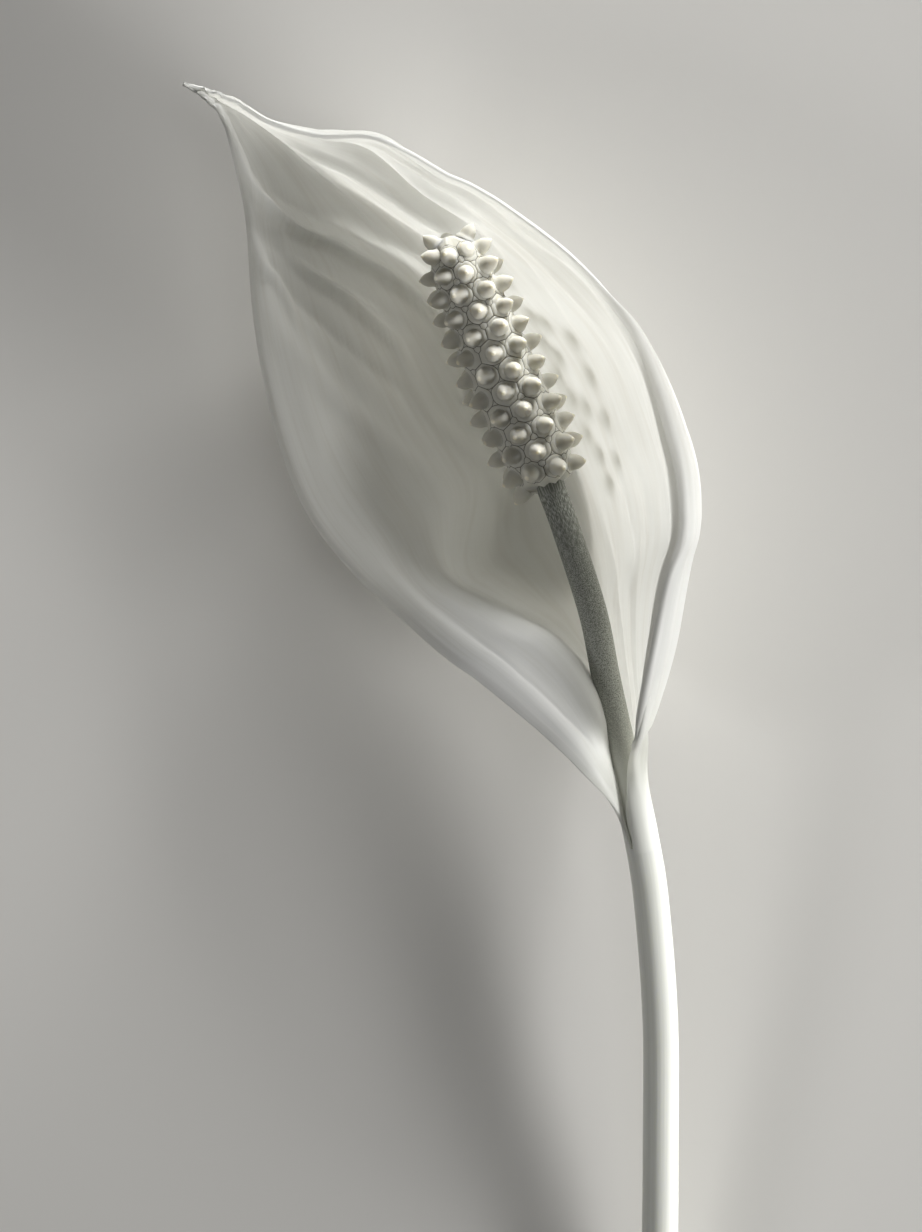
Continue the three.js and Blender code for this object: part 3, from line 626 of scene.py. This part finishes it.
def bract_tissue(tree, settings):
    """Living bract leaf: a waxy skin over thin white tissue. It has a soft satin sheen, fine
    lengthwise veins that shade it by a few per cent, and it glows where light comes from behind."""
    place = add_node(tree, "UVMap", {"uv_map": "growth"})
    # Veins half a millimetre apart over a blade that is about 60 mm from edge to edge.
    fine_at = add_node(tree, "VectorMath", {"operation": "MULTIPLY", 1: (120, 9, 1)}, {0: place})
    fine = add_node(tree, "TexNoise", {"Scale": 1, "Detail": 2}, {"Vector": fine_at})
    # Bundles of veins some 1.5 mm apart, which show for about a centimetre at a time.
    broad_at = add_node(tree, "VectorMath", {"operation": "MULTIPLY", 1: (40, 8, 1)}, {0: place})
    broad = add_node(tree, "TexNoise", {"Scale": 1, "Detail": 3}, {"Vector": broad_at})
    both = add_node(tree, "Math", {"operation": "MULTIPLY"}, {0: fine, 1: broad})
    veined = add_node(tree, "MapRange", {"From Min": 0.2, "From Max": 0.38}, {"Value": both})
    blade = add_node(tree, "Mix", {"data_type": "RGBA", 6: settings.tissue, 7: settings.vein}, {0: veined})
    # Veins hold back the light that shines through more than the light that they reflect.
    lit_through = add_node(
        tree, "Mix", {"data_type": "RGBA", 6: settings.tissue, 7: settings.vein_glow}, {0: veined}
    )
    # Painted shadow of the pistils: round each dent on the right wing the light that shines through is
    # darkened.
    marks = add_node(tree, "Attribute", {"attribute_name": "pressed"})
    pistil_shadowed = add_node(
        tree, "Mix", {"data_type": "RGBA", 7: settings.pressed}, {0: marks.outputs["Fac"], 6: lit_through}
    )
    apart = add_node(tree, "SeparateXYZ", links={0: place})
    to_foot = add_node(
        tree, "MapRange", {**SMOOTH, "From Min": 0.2, "From Max": 0.02}, {"Value": apart.outputs["Y"]}
    )
    tissue = add_node(tree, "Mix", {"data_type": "RGBA", 7: settings.foot}, {0: to_foot, 6: blade})
    skin = add_node(tree, "Bump", {"Strength": 0.2, "Distance": 0.04 * MM}, {"Height": both})
    face = add_node(
        tree, "BsdfPrincipled",
        {"Roughness": 0.46, "IOR": 1.42, "Specular IOR Level": 0.4, "Sheen Weight": 0.05},
        {"Base Color": tissue, "Normal": skin},
    )
    glow = add_node(tree, "BsdfTranslucent", links={"Color": pistil_shadowed, "Normal": skin})
    thin = add_node(
        tree, "MapRange", {**SMOOTH, "From Min": 0.01, "From Max": 0.1, "To Max": 0.68},
        {"Value": apart.outputs["Y"]},
    )
    # Painted light: where the blade is marked it throws back more light and lets less through, so these lit
    # bands come out brighter.
    painted_light_read = add_node(tree, "Attribute", {"attribute_name": "dense"})
    held = add_node(tree, "MapRange", {"To Min": 1.0, "To Max": 0.28}, {"Value": painted_light_read.outputs["Fac"]})
    through = add_node(tree, "Math", {"operation": "MULTIPLY"}, {0: thin, 1: held})
    return add_node(tree, "MixShader", links={0: through, 1: face, 2: glow})


def spadix_flesh(tree, settings):
    """Fleshy tepals and pistils, firm and finely granular: matt, with painted shade in dark lines along
    the shut seams between the tepals, and paler heads that end in a dry beak."""
    seam = add_node(tree, "Attribute", {"attribute_name": "seam"})
    head = add_node(tree, "Attribute", {"attribute_name": "head"})
    # Painted shade: a seam shows as a dark line about a tenth of a millimetre wide, the shade that falls in
    # the groove between tepals.
    from_seam = add_node(tree, "Math", {"operation": "ABSOLUTE"}, {0: seam.outputs["Fac"]})
    line = add_node(tree, "MapRange", {**SMOOTH, "From Min": 0.07, "From Max": 0.01}, {"Value": from_seam})
    grain_at = add_node(tree, "TexCoord")
    # Skin cells a quarter of a millimetre across.
    grain = add_node(
        tree, "TexNoise", {"Scale": 1 / (0.25 * MM), "Detail": 2}, {"Vector": grain_at.outputs["Object"]}
    )
    up = add_node(
        tree, "MapRange", {**SMOOTH, "From Min": 0.25, "From Max": 1.1}, {"Value": head.outputs["Fac"]}
    )
    flesh = add_node(tree, "Mix", {"data_type": "RGBA", 6: settings.tepal, 7: settings.pistil}, {0: up})
    seam_shaded = add_node(tree, "Mix", {"data_type": "RGBA", 7: settings.seam}, {0: line, 6: flesh})
    dry = add_node(tree, "MapRange", {"From Min": 1.42, "From Max": 1.56}, {"Value": head.outputs["Fac"]})
    tipped = add_node(tree, "Mix", {"data_type": "RGBA", 7: settings.beak}, {0: dry, 6: seam_shaded})
    skin = add_node(tree, "Bump", {"Strength": 0.5, "Distance": 0.03 * MM}, {"Height": grain})
    return add_node(
        tree, "BsdfPrincipled",
        {
            "Roughness": 0.65, "IOR": 1.4, "Specular IOR Level": 0.18, "Subsurface Weight": 0.8,
            "Subsurface Radius": (1.0, 0.95, 0.8), "Subsurface Scale": 0.9 * MM,
        },
        {"Base Color": tipped, "Normal": skin},
    )


def stipe_rind(tree, settings):
    """Green rind of the stipe, a pebbled skin of small cells in lengthwise files: dull, flecked
    with pale cells, bleached where the sheath kept the light off it."""
    place = add_node(tree, "UVMap", {"uv_map": "growth"})
    files_at = add_node(tree, "VectorMath", {"operation": "MULTIPLY", 1: (36, 60, 1)}, {0: place})
    # Cells in files 0.13 mm wide at the stipe's top, drawn five times as long as they are wide.
    files = add_node(tree, "TexNoise", {"Scale": 1, "Detail": 2}, {"Vector": files_at})
    where = add_node(tree, "TexCoord")
    # Further down round cells, drawn 0.1 mm wide.
    pebbles = add_node(
        tree, "TexNoise", {"Scale": 1 / (0.1 * MM), "Detail": 1, "Roughness": 0.6},
        {"Vector": where.outputs["Object"]},
    )
    apart = add_node(tree, "SeparateXYZ", links={0: place})
    below_top = add_node(
        tree, "MapRange", {**SMOOTH, "From Min": 0.1, "From Max": 0.3}, {"Value": apart.outputs["Y"]}
    )
    cells = add_node(tree, "Mix", {"data_type": "FLOAT"}, {0: below_top, 2: files, 3: pebbles})
    # The cells are palest halfway down and even out towards the foot.
    palest = add_node(
        tree, "MapRange", {**SMOOTH, "From Min": 0.14, "From Max": 0.5, "To Max": 0.11},
        {"Value": apart.outputs["Y"]},
    )
    evened = add_node(
        tree, "MapRange", {**SMOOTH, "From Min": 0.52, "From Max": 0.72, "To Max": 0.13},
        {"Value": apart.outputs["Y"]},
    )
    raised = add_node(tree, "Math", {"operation": "ADD"}, {0: cells, 1: palest})
    levelled = add_node(tree, "Math", {"operation": "SUBTRACT"}, {0: raised, 1: evened})
    flecked = add_node(tree, "MapRange", {"From Min": 0.42, "From Max": 0.72}, {"Value": levelled})
    rind = add_node(
        tree, "Mix", {"data_type": "RGBA", 6: settings.stipe, 7: settings.stipe_fleck}, {0: flecked}
    )
    to_foot = add_node(
        tree, "MapRange", {**SMOOTH, "From Min": 0.5, "From Max": 0.8}, {"Value": apart.outputs["Y"]}
    )
    bleached = add_node(tree, "Mix", {"data_type": "RGBA", 7: settings.stipe_foot}, {0: to_foot, 6: rind})
    skin = add_node(tree, "Bump", {"Strength": 0.5, "Distance": 0.04 * MM}, {"Height": cells})
    return add_node(
        tree, "BsdfPrincipled", {"Roughness": 0.5, "IOR": 1.42, "Specular IOR Level": 0.45},
        {"Base Color": bleached, "Normal": skin},
    )


def stalk_skin(tree, settings):
    """Smooth skin of the flower stalk: pale, satin, faintly ribbed along its length."""
    place = add_node(tree, "UVMap", {"uv_map": "growth"})
    ribs_at = add_node(tree, "VectorMath", {"operation": "MULTIPLY", 1: (30, 5, 1)}, {0: place})
    # Ribs some 0.4 mm apart round a stalk of 12 mm girth.
    ribs = add_node(tree, "TexNoise", {"Scale": 1, "Detail": 2}, {"Vector": ribs_at})
    shade = add_node(
        tree, "MapRange", {"From Min": 0.35, "From Max": 0.65, "To Min": 0.94}, {"Value": ribs}
    )
    tinted = add_node(
        tree, "Mix", {"data_type": "RGBA", "blend_type": "MULTIPLY", 0: 1.0, 6: settings.peduncle},
        {7: shade},
    )
    skin = add_node(tree, "Bump", {"Strength": 0.3, "Distance": 0.04 * MM}, {"Height": ribs})
    return add_node(
        tree, "BsdfPrincipled",
        {
            "Roughness": 0.38, "IOR": 1.42, "Specular IOR Level": 0.45, "Subsurface Weight": 0.4,
            "Subsurface Radius": (1.0, 1.0, 0.8), "Subsurface Scale": 0.8 * MM,
        },
        {"Base Color": tinted, "Normal": skin},
    )


def cut_pith(tree, settings):
    """Freshly cut pith: wet and glossy, spongy, paler than the rind."""
    where = add_node(tree, "TexCoord")
    # Pith cells a third of a millimetre across.
    cells = add_node(tree, "TexVoronoi", {"Scale": 1 / (0.33 * MM)}, {"Vector": where.outputs["Object"]})
    shade = add_node(tree, "MapRange", {"From Max": 0.7, "To Min": 1.0, "To Max": 0.8}, {"Value": cells})
    tinted = add_node(
        tree, "Mix", {"data_type": "RGBA", "blend_type": "MULTIPLY", 0: 1.0, 6: settings.cut}, {7: shade}
    )
    skin = add_node(tree, "Bump", {"Strength": 0.5, "Distance": 0.05 * MM}, {"Height": cells})
    return add_node(
        tree, "BsdfPrincipled", {"Roughness": 0.25, "IOR": 1.36}, {"Base Color": tinted, "Normal": skin}
    )


class FLOWER_OT_spathe(Operator):
    """Makes the spathe, the white bract: sheath, deep blade and drawn-out tip"""

    bl_idname = "flower.spathe"
    bl_label = "Spathe"

    def execute(self, context):
        settings = context.scene.lily_spathe
        thickness = settings.thickness / MM
        margin = settings.margin / MM
        foot = np.linspace(-FOOT_SECTIONS, 0, 8)[:-1]
        section = np.concatenate([foot, np.linspace(0, LAST_SECTION, settings.rows + 1)])
        rim = np.array([0, 0.003, 0.008, 0.015])
        across = np.concatenate([rim - 1, np.linspace(-0.975, 0.975, settings.columns - 7), (1 - rim)[::-1]])
        middle = spathe_middle(section, across, thickness)
        span = np.linalg.norm(np.gradient(middle, axis=1), axis=-1) / np.gradient(across)[None, :]
        normals = surface_normals(middle)
        relief = spathe_relief(section, across, np.maximum(span, 0.5))
        # The painted shadow of the pistils, kept on the points for the material.
        pressed = pressed_marks(section[:, None], across, span).ravel()
        # The painted light on the lit bands, kept on the points for the material.
        dense = dense_tissue(section, across).ravel()
        middle = middle + normals * relief[..., None]
        edge_distance = (1 - np.abs(across))[None, :] * span
        rounding = np.sqrt(np.clip(edge_distance / (thickness / 2), 0, 1))
        end_taper = 1 - 0.5 * smooth_step(section, LAST_SECTION - 1.5, LAST_SECTION)[:, None]
        thick = mix(margin, thickness, rounding) * end_taper
        normals = surface_normals(middle)
        front = middle + normals * thick[..., None] / 2
        back = middle - normals * thick[..., None] / 2
        back[..., 2] = np.maximum(back[..., 2], TABLE)
        front[..., 2] = np.maximum(front[..., 2], TABLE + thick)
        points, faces = closed_sheet(front, back)
        along = np.maximum(section / LAST_SECTION, 0)
        place = np.stack(np.broadcast_arrays((across + 1) / 2, along[:, None]), axis=-1).reshape(-1, 2)
        add_piece(
            "white_spathe", "spathe", points, faces, [new_material(bract_tissue, settings)],
            growth=np.tile(place, (2, 1)),
            values={"pressed": np.tile(pressed, 2), "dense": np.tile(dense, 2)},
        )
        return {"FINISHED"}


def spadix_outline():
    """Skin lengths from the free end with the outline's place, radius and slope there."""
    shares = np.linspace(0, 1, 1201)
    line = smooth_curve(SPADIX_OUTLINE, shares, held_ends=True)
    lengths = np.concatenate([[0], np.cumsum(np.linalg.norm(np.diff(line, axis=0), axis=1))])
    return lengths, line, unit(np.gradient(line, axis=0))


SKIN_LENGTHS, SKIN_LINE, SKIN_SLOPE = spadix_outline()


def over_skin(along, turn, height):
    """Places over the upright spadix's skin: along from the free end, turned from its front."""
    at, radius = (np.interp(along, SKIN_LENGTHS, SKIN_LINE[:, k]) for k in range(2))
    slope_at, slope_out = (np.interp(along, SKIN_LENGTHS, SKIN_SLOPE[:, k]) for k in range(2))
    out = radius + height * slope_at
    angle = np.radians(turn)
    return np.stack([out * np.sin(angle), height * slope_out - at, out * np.cos(angle)], axis=-1)


def skin_radius(along):
    return np.interp(along, SKIN_LENGTHS, SKIN_LINE[:, 1])


def floret_place(number):
    along, turn = FLORET_ZERO
    return along + FLORET_RISE * number, turn + FLORET_TURN * number


def cell_edge(number, spokes):
    """Skin places round a floret's cell, and how far in from them its own outline runs."""
    places = []
    for on, thirds in CELL_CORNERS:
        along, turn = floret_place(number + on)
        places.append((along, turn + 120 * thirds))
    places = np.array(places)
    share = np.arange(spokes) / spokes
    edge = np.concatenate([mix(places[k], places[(k + 1) % 6], share[:, None]) for k in range(6)])
    cuts = CORNER_CUT * (0.5 + 0.5 * np.sin(40 * places[:, 0] + np.radians(2 * places[:, 1])))
    to_corner = np.clip(np.abs(share - 0.5) / 0.3 - 0.67, 0, 1)
    inset = [to_corner * np.where(share < 0.5, cuts[k], cuts[(k + 1) % 6]) for k in range(6)]
    return edge, np.concatenate(inset)


def marked(places, seam, head):
    """Places with what the material reads there: how far off a floret's outline is, negative
    inside it, and how high up a pistil they are."""
    return np.column_stack([places, np.full(len(places), seam), np.full(len(places), head)])


def floret(number, spokes, rng):
    """Rings of marked points from a cell's edge up to the beak, and the beak's tip."""
    along, turn = floret_place(number)
    along += FLORET_STRAY[0] * math.sin(2.3 * number + 1)
    turn += FLORET_STRAY[1] * math.sin(3.7 * number)
    edge, inset = cell_edge(number, spokes)
    size = 1 + SIZE_STRAY * rng.uniform(-1, 1)
    splits = rng.permutation(6)[:3] * spokes + rng.integers(0, spokes, 3)
    offset = edge - (along, turn)
    metric = offset * np.stack([np.ones(len(edge)), np.radians(1) * skin_radius(edge[:, 0])], axis=-1)
    reach = np.linalg.norm(metric, axis=-1)
    foot_radius = PISTIL[0][0] * size
    spoke = np.arange(len(edge))
    to_split = np.min(
        [np.abs((spoke - s + len(edge) / 2) % len(edge) - len(edge) / 2) for s in splits], axis=0
    ) * (2 * math.pi / len(edge))
    rings = []
    for ring in range(TEPAL_RINGS + 1):
        out = mix(reach, foot_radius, (ring / TEPAL_RINGS) ** 0.9)
        from_outline = out - (reach - inset)
        from_split = np.where(out < reach - inset, out * to_split, 1.0) + 0.25 * (ring == 0)
        from_pistil = out - foot_radius + 0.01
        swelling = TEPAL_SWELLING * np.clip(np.abs(from_outline) / 0.5, 0, 1)
        groove = SEAM_DEPTH * np.exp(-((from_outline / SEAM_WIDTH) ** 2))
        split = 0.5 * SEAM_DEPTH * np.exp(-((from_split / SEAM_WIDTH) ** 2))
        crease = PISTIL_CREASE * np.exp(-((from_pistil / 0.1) ** 2)) * (ring > 0)
        inner = 0 if ring == 0 else 1
        height = -groove + inner * (swelling - split - crease)
        place = np.array([along, turn]) + offset * (out / reach)[:, None]
        rings.append(marked(over_skin(place[:, 0], place[:, 1], height), from_outline, 0))
    foot = over_skin(along, turn, 0.0)
    facing = unit(over_skin(along, turn, 1.0) - foot)
    outward = rings[-1][:, :3] - foot
    outward = unit(outward - (outward @ facing)[:, None] * facing)
    lean = unit(np.cross(facing, rng.normal(size=3))) * PISTIL_LEAN * rng.uniform(0, 1)
    grown = UNGROWN_RISE if number in UNGROWN else 1
    for radius, height in PISTIL[1:]:
        rise = height * size * grown
        centre = foot + facing * rise + lean * (height / PISTIL_TIP) ** 2
        rings.append(marked(centre + outward * radius * size, 1, height))
    return np.array(rings), foot + facing * PISTIL_TIP * size * grown + lean


def crown_floret(turn, away, spokes):
    """A floret on the free end: rings of marked points from its collar up, and the beak's tip."""
    sides = 6 * spokes
    foot = over_skin(away, turn, 0.0)
    facing = unit(over_skin(away, turn, 1.0) - foot)
    across = np.array([math.cos(math.radians(turn)), 0, -math.sin(math.radians(turn))])
    along = np.cross(facing, across)
    angle = 2 * np.pi * np.arange(sides) / sides
    outward = np.cos(angle)[:, None] * across + np.sin(angle)[:, None] * along
    rings = []
    profile = [*CROWN_COLLAR, *((r * CROWN_SIZE, h * CROWN_SIZE) for r, h in PISTIL)]
    for k, (radius, height) in enumerate(profile):
        seam = 0.05 if k in CROWN_SEAMS else 1
        head = max(height, 0) if radius < 1 else 0
        rings.append(marked(foot + facing * height + outward * radius, seam, head))
    return np.array(rings), foot + facing * PISTIL_TIP * CROWN_SIZE


class FLOWER_OT_spadix(Operator):
    """Makes the spadix: tepal plates with seams between them, and a beaked pistil on each floret"""

    bl_idname = "flower.spadix"
    bl_label = "Spadix"

    def execute(self, context):
        settings = context.scene.lily_spadix
        rng = np.random.default_rng(11)
        points, faces = [], []
        for number in range(FLORET_FIRST, FLORET_LAST + 1):
            self.add_rings(*floret(number, settings.spokes, rng), points, faces)
        points, faces = self.closed(*self.welded(points, faces))
        for turn, away in CROWN:
            rings, tip = crown_floret(turn, away, settings.spokes)
            faces.append([len(points) + k for k in reversed(range(rings.shape[1]))])
            self.add_rings(rings, tip, points, faces)
        points = np.array(points)
        add_piece(
            "knobbly_spadix", "spadix", self.laid(points[:, :3]), faces,
            [new_material(spadix_flesh, settings)], values={"seam": points[:, 3], "head": points[:, 4]},
        )
        return {"FINISHED"}

    @staticmethod
    def add_rings(rings, tip, points, faces):
        """Adds a floret's marked rings, shut by its tip."""
        number = len(points) + np.arange(rings[..., 0].size).reshape(rings.shape[:2])
        faces.extend(ring_walls(number) + fan(number[-1], number.max() + 1))
        points.extend([*rings.reshape(-1, rings.shape[-1]), *marked(tip[None], 1, PISTIL_TIP)])

    @staticmethod
    def welded(points, faces):
        """Joins the points that neighbouring cells share."""
        points = np.array(points)
        places = np.round(points[:, :3], 3)
        _, first, same = np.unique(places, axis=0, return_index=True, return_inverse=True)
        same = same.ravel()
        return list(points[first]), [[int(same[c]) for c in face] for face in faces]

    @staticmethod
    def closed(points, faces):
        """Closes the skin at both ends of the spiral with a smooth cap to the axis."""
        edges = {(face[k - 1], face[k]) for face in faces for k in range(len(face))}
        open_edges = [(b, a) for a, b in edges if (b, a) not in edges]
        following = dict(open_edges)
        while following:
            loop = [min(following)]
            while following.get(loop[-1]) is not None and len(loop) <= len(open_edges):
                step = following.pop(loop[-1])
                if step == loop[0]:
                    break
                loop.append(step)
            free_end = points[loop[0]][1] > -SPADIX_END / 2
            middle = np.array([0, -0.05 if free_end else -SPADIX_END, 0])
            ring = loop
            for share in (0.3, 0.6, 0.85):
                inner = list(range(len(points), len(points) + len(loop)))
                for k in loop:
                    at = mix(points[k][:3], middle, share)
                    if free_end:
                        at[1] = mix(points[k][1], middle[1], 1 - (1 - share) ** 2)
                    points.extend(marked(at[None], 1, 0))
                faces.extend(ring_walls(np.array([ring, inner])))
                ring = inner
            points.extend(marked(middle[None], 1, 0))
            faces.extend(fan(np.array(ring), len(points) - 1))
        return points, faces

    @staticmethod
    def laid(points):
        """Lays the upright spadix in its place."""
        tip = np.array(SPADIX_TIP)
        up = unit(tip - np.array(SPADIX_FOOT))
        right = unit(np.cross(up, (0, 0, 1)))
        return tip + points @ np.array([right, up, np.cross(right, up)])


def stalk_rings(start, end, rows, sides, radius_at):
    """Rings of a stretch of the stalk, pressed flat where it would sink into the table."""
    shares = np.linspace(start, end, rows + 1)[:, None]
    turns = -2 * np.pi * np.arange(sides)[None, :] / sides
    rings = round_stalk(shares + 0 * turns, turns + 0 * shares, radius_at(shares) + 0 * turns)
    rings[..., 2] = np.maximum(rings[..., 2], TABLE)
    return rings


def stalk_growth(rows, sides):
    """The UV map of a stalk: round it and along it, with the two end points."""
    along, turn = np.meshgrid(np.linspace(0, 1, rows + 1), np.arange(sides) / sides, indexing="ij")
    around = 1 - np.abs(2 * turn - 1)
    return np.concatenate([np.stack([around, along], axis=-1).reshape(-1, 2), [[0.5, 0], [0.5, 1]]])


class FLOWER_OT_stipe(Operator):
    """Makes the stipe, the short dark stalk between the node and the spadix"""

    bl_idname = "flower.stipe"
    bl_label = "Stipe"

    def execute(self, context):
        settings = context.scene.lily_stalks
        rows = 150
        rings = stalk_rings(0, STIPE_END, rows, settings.sides, stipe_radius)
        root = rings[0] + unit(rings[0].mean(axis=0) - rings[1].mean(axis=0)) * STIPE_ROOT
        points, faces = tube(np.concatenate([root[None], rings]))
        add_piece(
            "green_stipe", "stipe", points, faces, [new_material(stipe_rind, settings)],
            growth=stalk_growth(rows + 1, settings.sides),
        )
        return {"FINISHED"}


class FLOWER_OT_peduncle(Operator):
    """Makes the peduncle, the long pale flower stalk with its cut end"""

    bl_idname = "flower.peduncle"
    bl_label = "Peduncle"

    def execute(self, context):
        settings = context.scene.lily_stalks
        rows = 260
        start = float(stalk_share_at(NODE_Y + PEDUNCLE_UP))

        def radius_at(shares):
            along = (shares - start) / (1 - start)
            tucked = PEDUNCLE_TUCK[0] * (1 - smooth_step(along, 0, PEDUNCLE_TUCK[1]))
            return mix(PEDUNCLE_TOP, PEDUNCLE_CUT, along) - tucked

        rings = stalk_rings(start, 1, rows, settings.sides, radius_at)
        cut_centre = rings[-1].mean(axis=0)
        inward = unit(rings[-2].mean(axis=0) - cut_centre)
        lips = [mix(cut_centre, rings[-1], share) + inward * depth for share, depth in CUT_RINGS]
        points, faces = tube(np.concatenate([rings, np.array(lips)]))
        skin_points = (rows + 2) * settings.sides
        add_piece(
            "pale_peduncle", "peduncle", points, faces,
            [new_material(surface, settings) for surface in (stalk_skin, cut_pith)],
            looks=[int(max(face) >= skin_points) for face in faces],
            growth=stalk_growth(rows + len(lips), settings.sides),
        )
        return {"FINISHED"}


def painted_board(tree, settings):
    """Matt painted board: even and pale, with a faint tooth that keeps reflections off it."""
    where = add_node(tree, "TexCoord")
    # The paint's tooth is about a millimetre wide.
    tooth = add_node(tree, "TexNoise", {"Scale": 1 / MM, "Detail": 2}, {"Vector": where.outputs["Object"]})
    skin = add_node(tree, "Bump", {"Strength": 0.1, "Distance": 0.05 * MM}, {"Height": tooth})
    return add_node(
        tree, "BsdfPrincipled", {"Base Color": settings.floor, "Roughness": 0.9, "Specular IOR Level": 0.2},
        {"Normal": skin},
    )


def add_light(name, watts, size, at):
    """A soft oblong light at a place in metres, turned towards the flower."""
    light = bpy.data.lights.new(name, "AREA")
    light.shape = "RECTANGLE"
    light.energy = watts
    light.size, light.size_y = size
    light.spread = math.radians(BEAM)
    lamp = bpy.data.objects.new(name, light)
    lamp.location = at
    lamp.rotation_euler = (lamp.location - Vector(LIGHTS_AIM)).to_track_quat("Z", "Y").to_euler()
    lamp.visible_camera = False
    bpy.context.scene.collection.objects.link(lamp)


class FLOWER_OT_stage(Operator):
    """Makes the floor, the studio light and the camera that looks straight down"""

    bl_idname = "flower.stage"
    bl_label = "Stage"

    def execute(self, context):
        settings = context.scene.lily_stage
        mesh = bpy.data.meshes.new("floor")
        corners = [(FLOOR_HALF * x, FLOOR_HALF * y, 0) for x, y in ((-1, -1), (1, -1), (1, 1), (-1, 1))]
        mesh.from_pydata(corners, [], [(0, 1, 2, 3)])
        mesh.materials.append(new_material(painted_board, settings))
        floor = bpy.data.objects.new("floor", mesh)
        context.scene.collection.objects.link(floor)
        for name, (size, at) in LIGHTS.items():
            add_light(f"{name}_light", getattr(settings, name), size, at)
        world = bpy.data.worlds.new("studio")
        world.use_nodes = True
        world.node_tree.nodes["Background"].inputs["Color"].default_value = (1, 1, 1, 1)
        world.node_tree.nodes["Background"].inputs["Strength"].default_value = settings.sky
        context.scene.world = world
        context.scene.view_settings.view_transform = "Standard"
        data = bpy.data.cameras.new("camera")
        data.sensor_width = 36
        data.lens = data.sensor_width * CAMERA_DISTANCE / (PICTURE_HEIGHT / PIXELS_PER_MM)
        data.clip_start = 0.05
        camera = bpy.data.objects.new("camera", data)
        height = CAMERA_DISTANCE + CAMERA_FOCUS_HEIGHT
        camera.location = (CAMERA_AT[0] * MM, CAMERA_AT[1] * MM, height * MM)
        context.scene.collection.objects.link(camera)
        context.scene.camera = camera
        return {"FINISHED"}


class FLOWER_PT_panel(Panel):
    """Lists the flower's pieces and their settings"""

    bl_label = "Peace Lily Flower"
    bl_space_type = "VIEW_3D"
    bl_region_type = "UI"
    bl_category = "Peace Lily"

    def draw(self, context):
        for group, operators in PIECES.items():
            box = self.layout.box()
            settings = getattr(context.scene, group)
            for name in settings.__annotations__:
                box.prop(settings, name)
            for operator in operators:
                box.operator(operator.bl_idname)


SETTINGS = {
    "lily_spathe": SpatheSettings,
    "lily_spadix": SpadixSettings,
    "lily_stalks": StalkSettings,
    "lily_stage": StageSettings,
}
PIECES = {
    "lily_spathe": (FLOWER_OT_spathe,),
    "lily_spadix": (FLOWER_OT_spadix,),
    "lily_stalks": (FLOWER_OT_stipe, FLOWER_OT_peduncle),
    "lily_stage": (FLOWER_OT_stage,),
}
OPERATORS = tuple(operator for operators in PIECES.values() for operator in operators)


def register():
    for cls in (*SETTINGS.values(), *OPERATORS, FLOWER_PT_panel):
        bpy.utils.register_class(cls)
    for name, cls in SETTINGS.items():
        setattr(bpy.types.Scene, name, PointerProperty(type=cls))


def unregister():
    for name in SETTINGS:
        delattr(bpy.types.Scene, name)
    for cls in (FLOWER_PT_panel, *OPERATORS, *SETTINGS.values()):
        bpy.utils.unregister_class(cls)


def main():
    register()
    bpy.ops.flower.spathe()
    bpy.ops.flower.spadix()
    bpy.ops.flower.stipe()
    bpy.ops.flower.peduncle()
    bpy.ops.flower.stage()


if __name__ == "__main__":
    main()
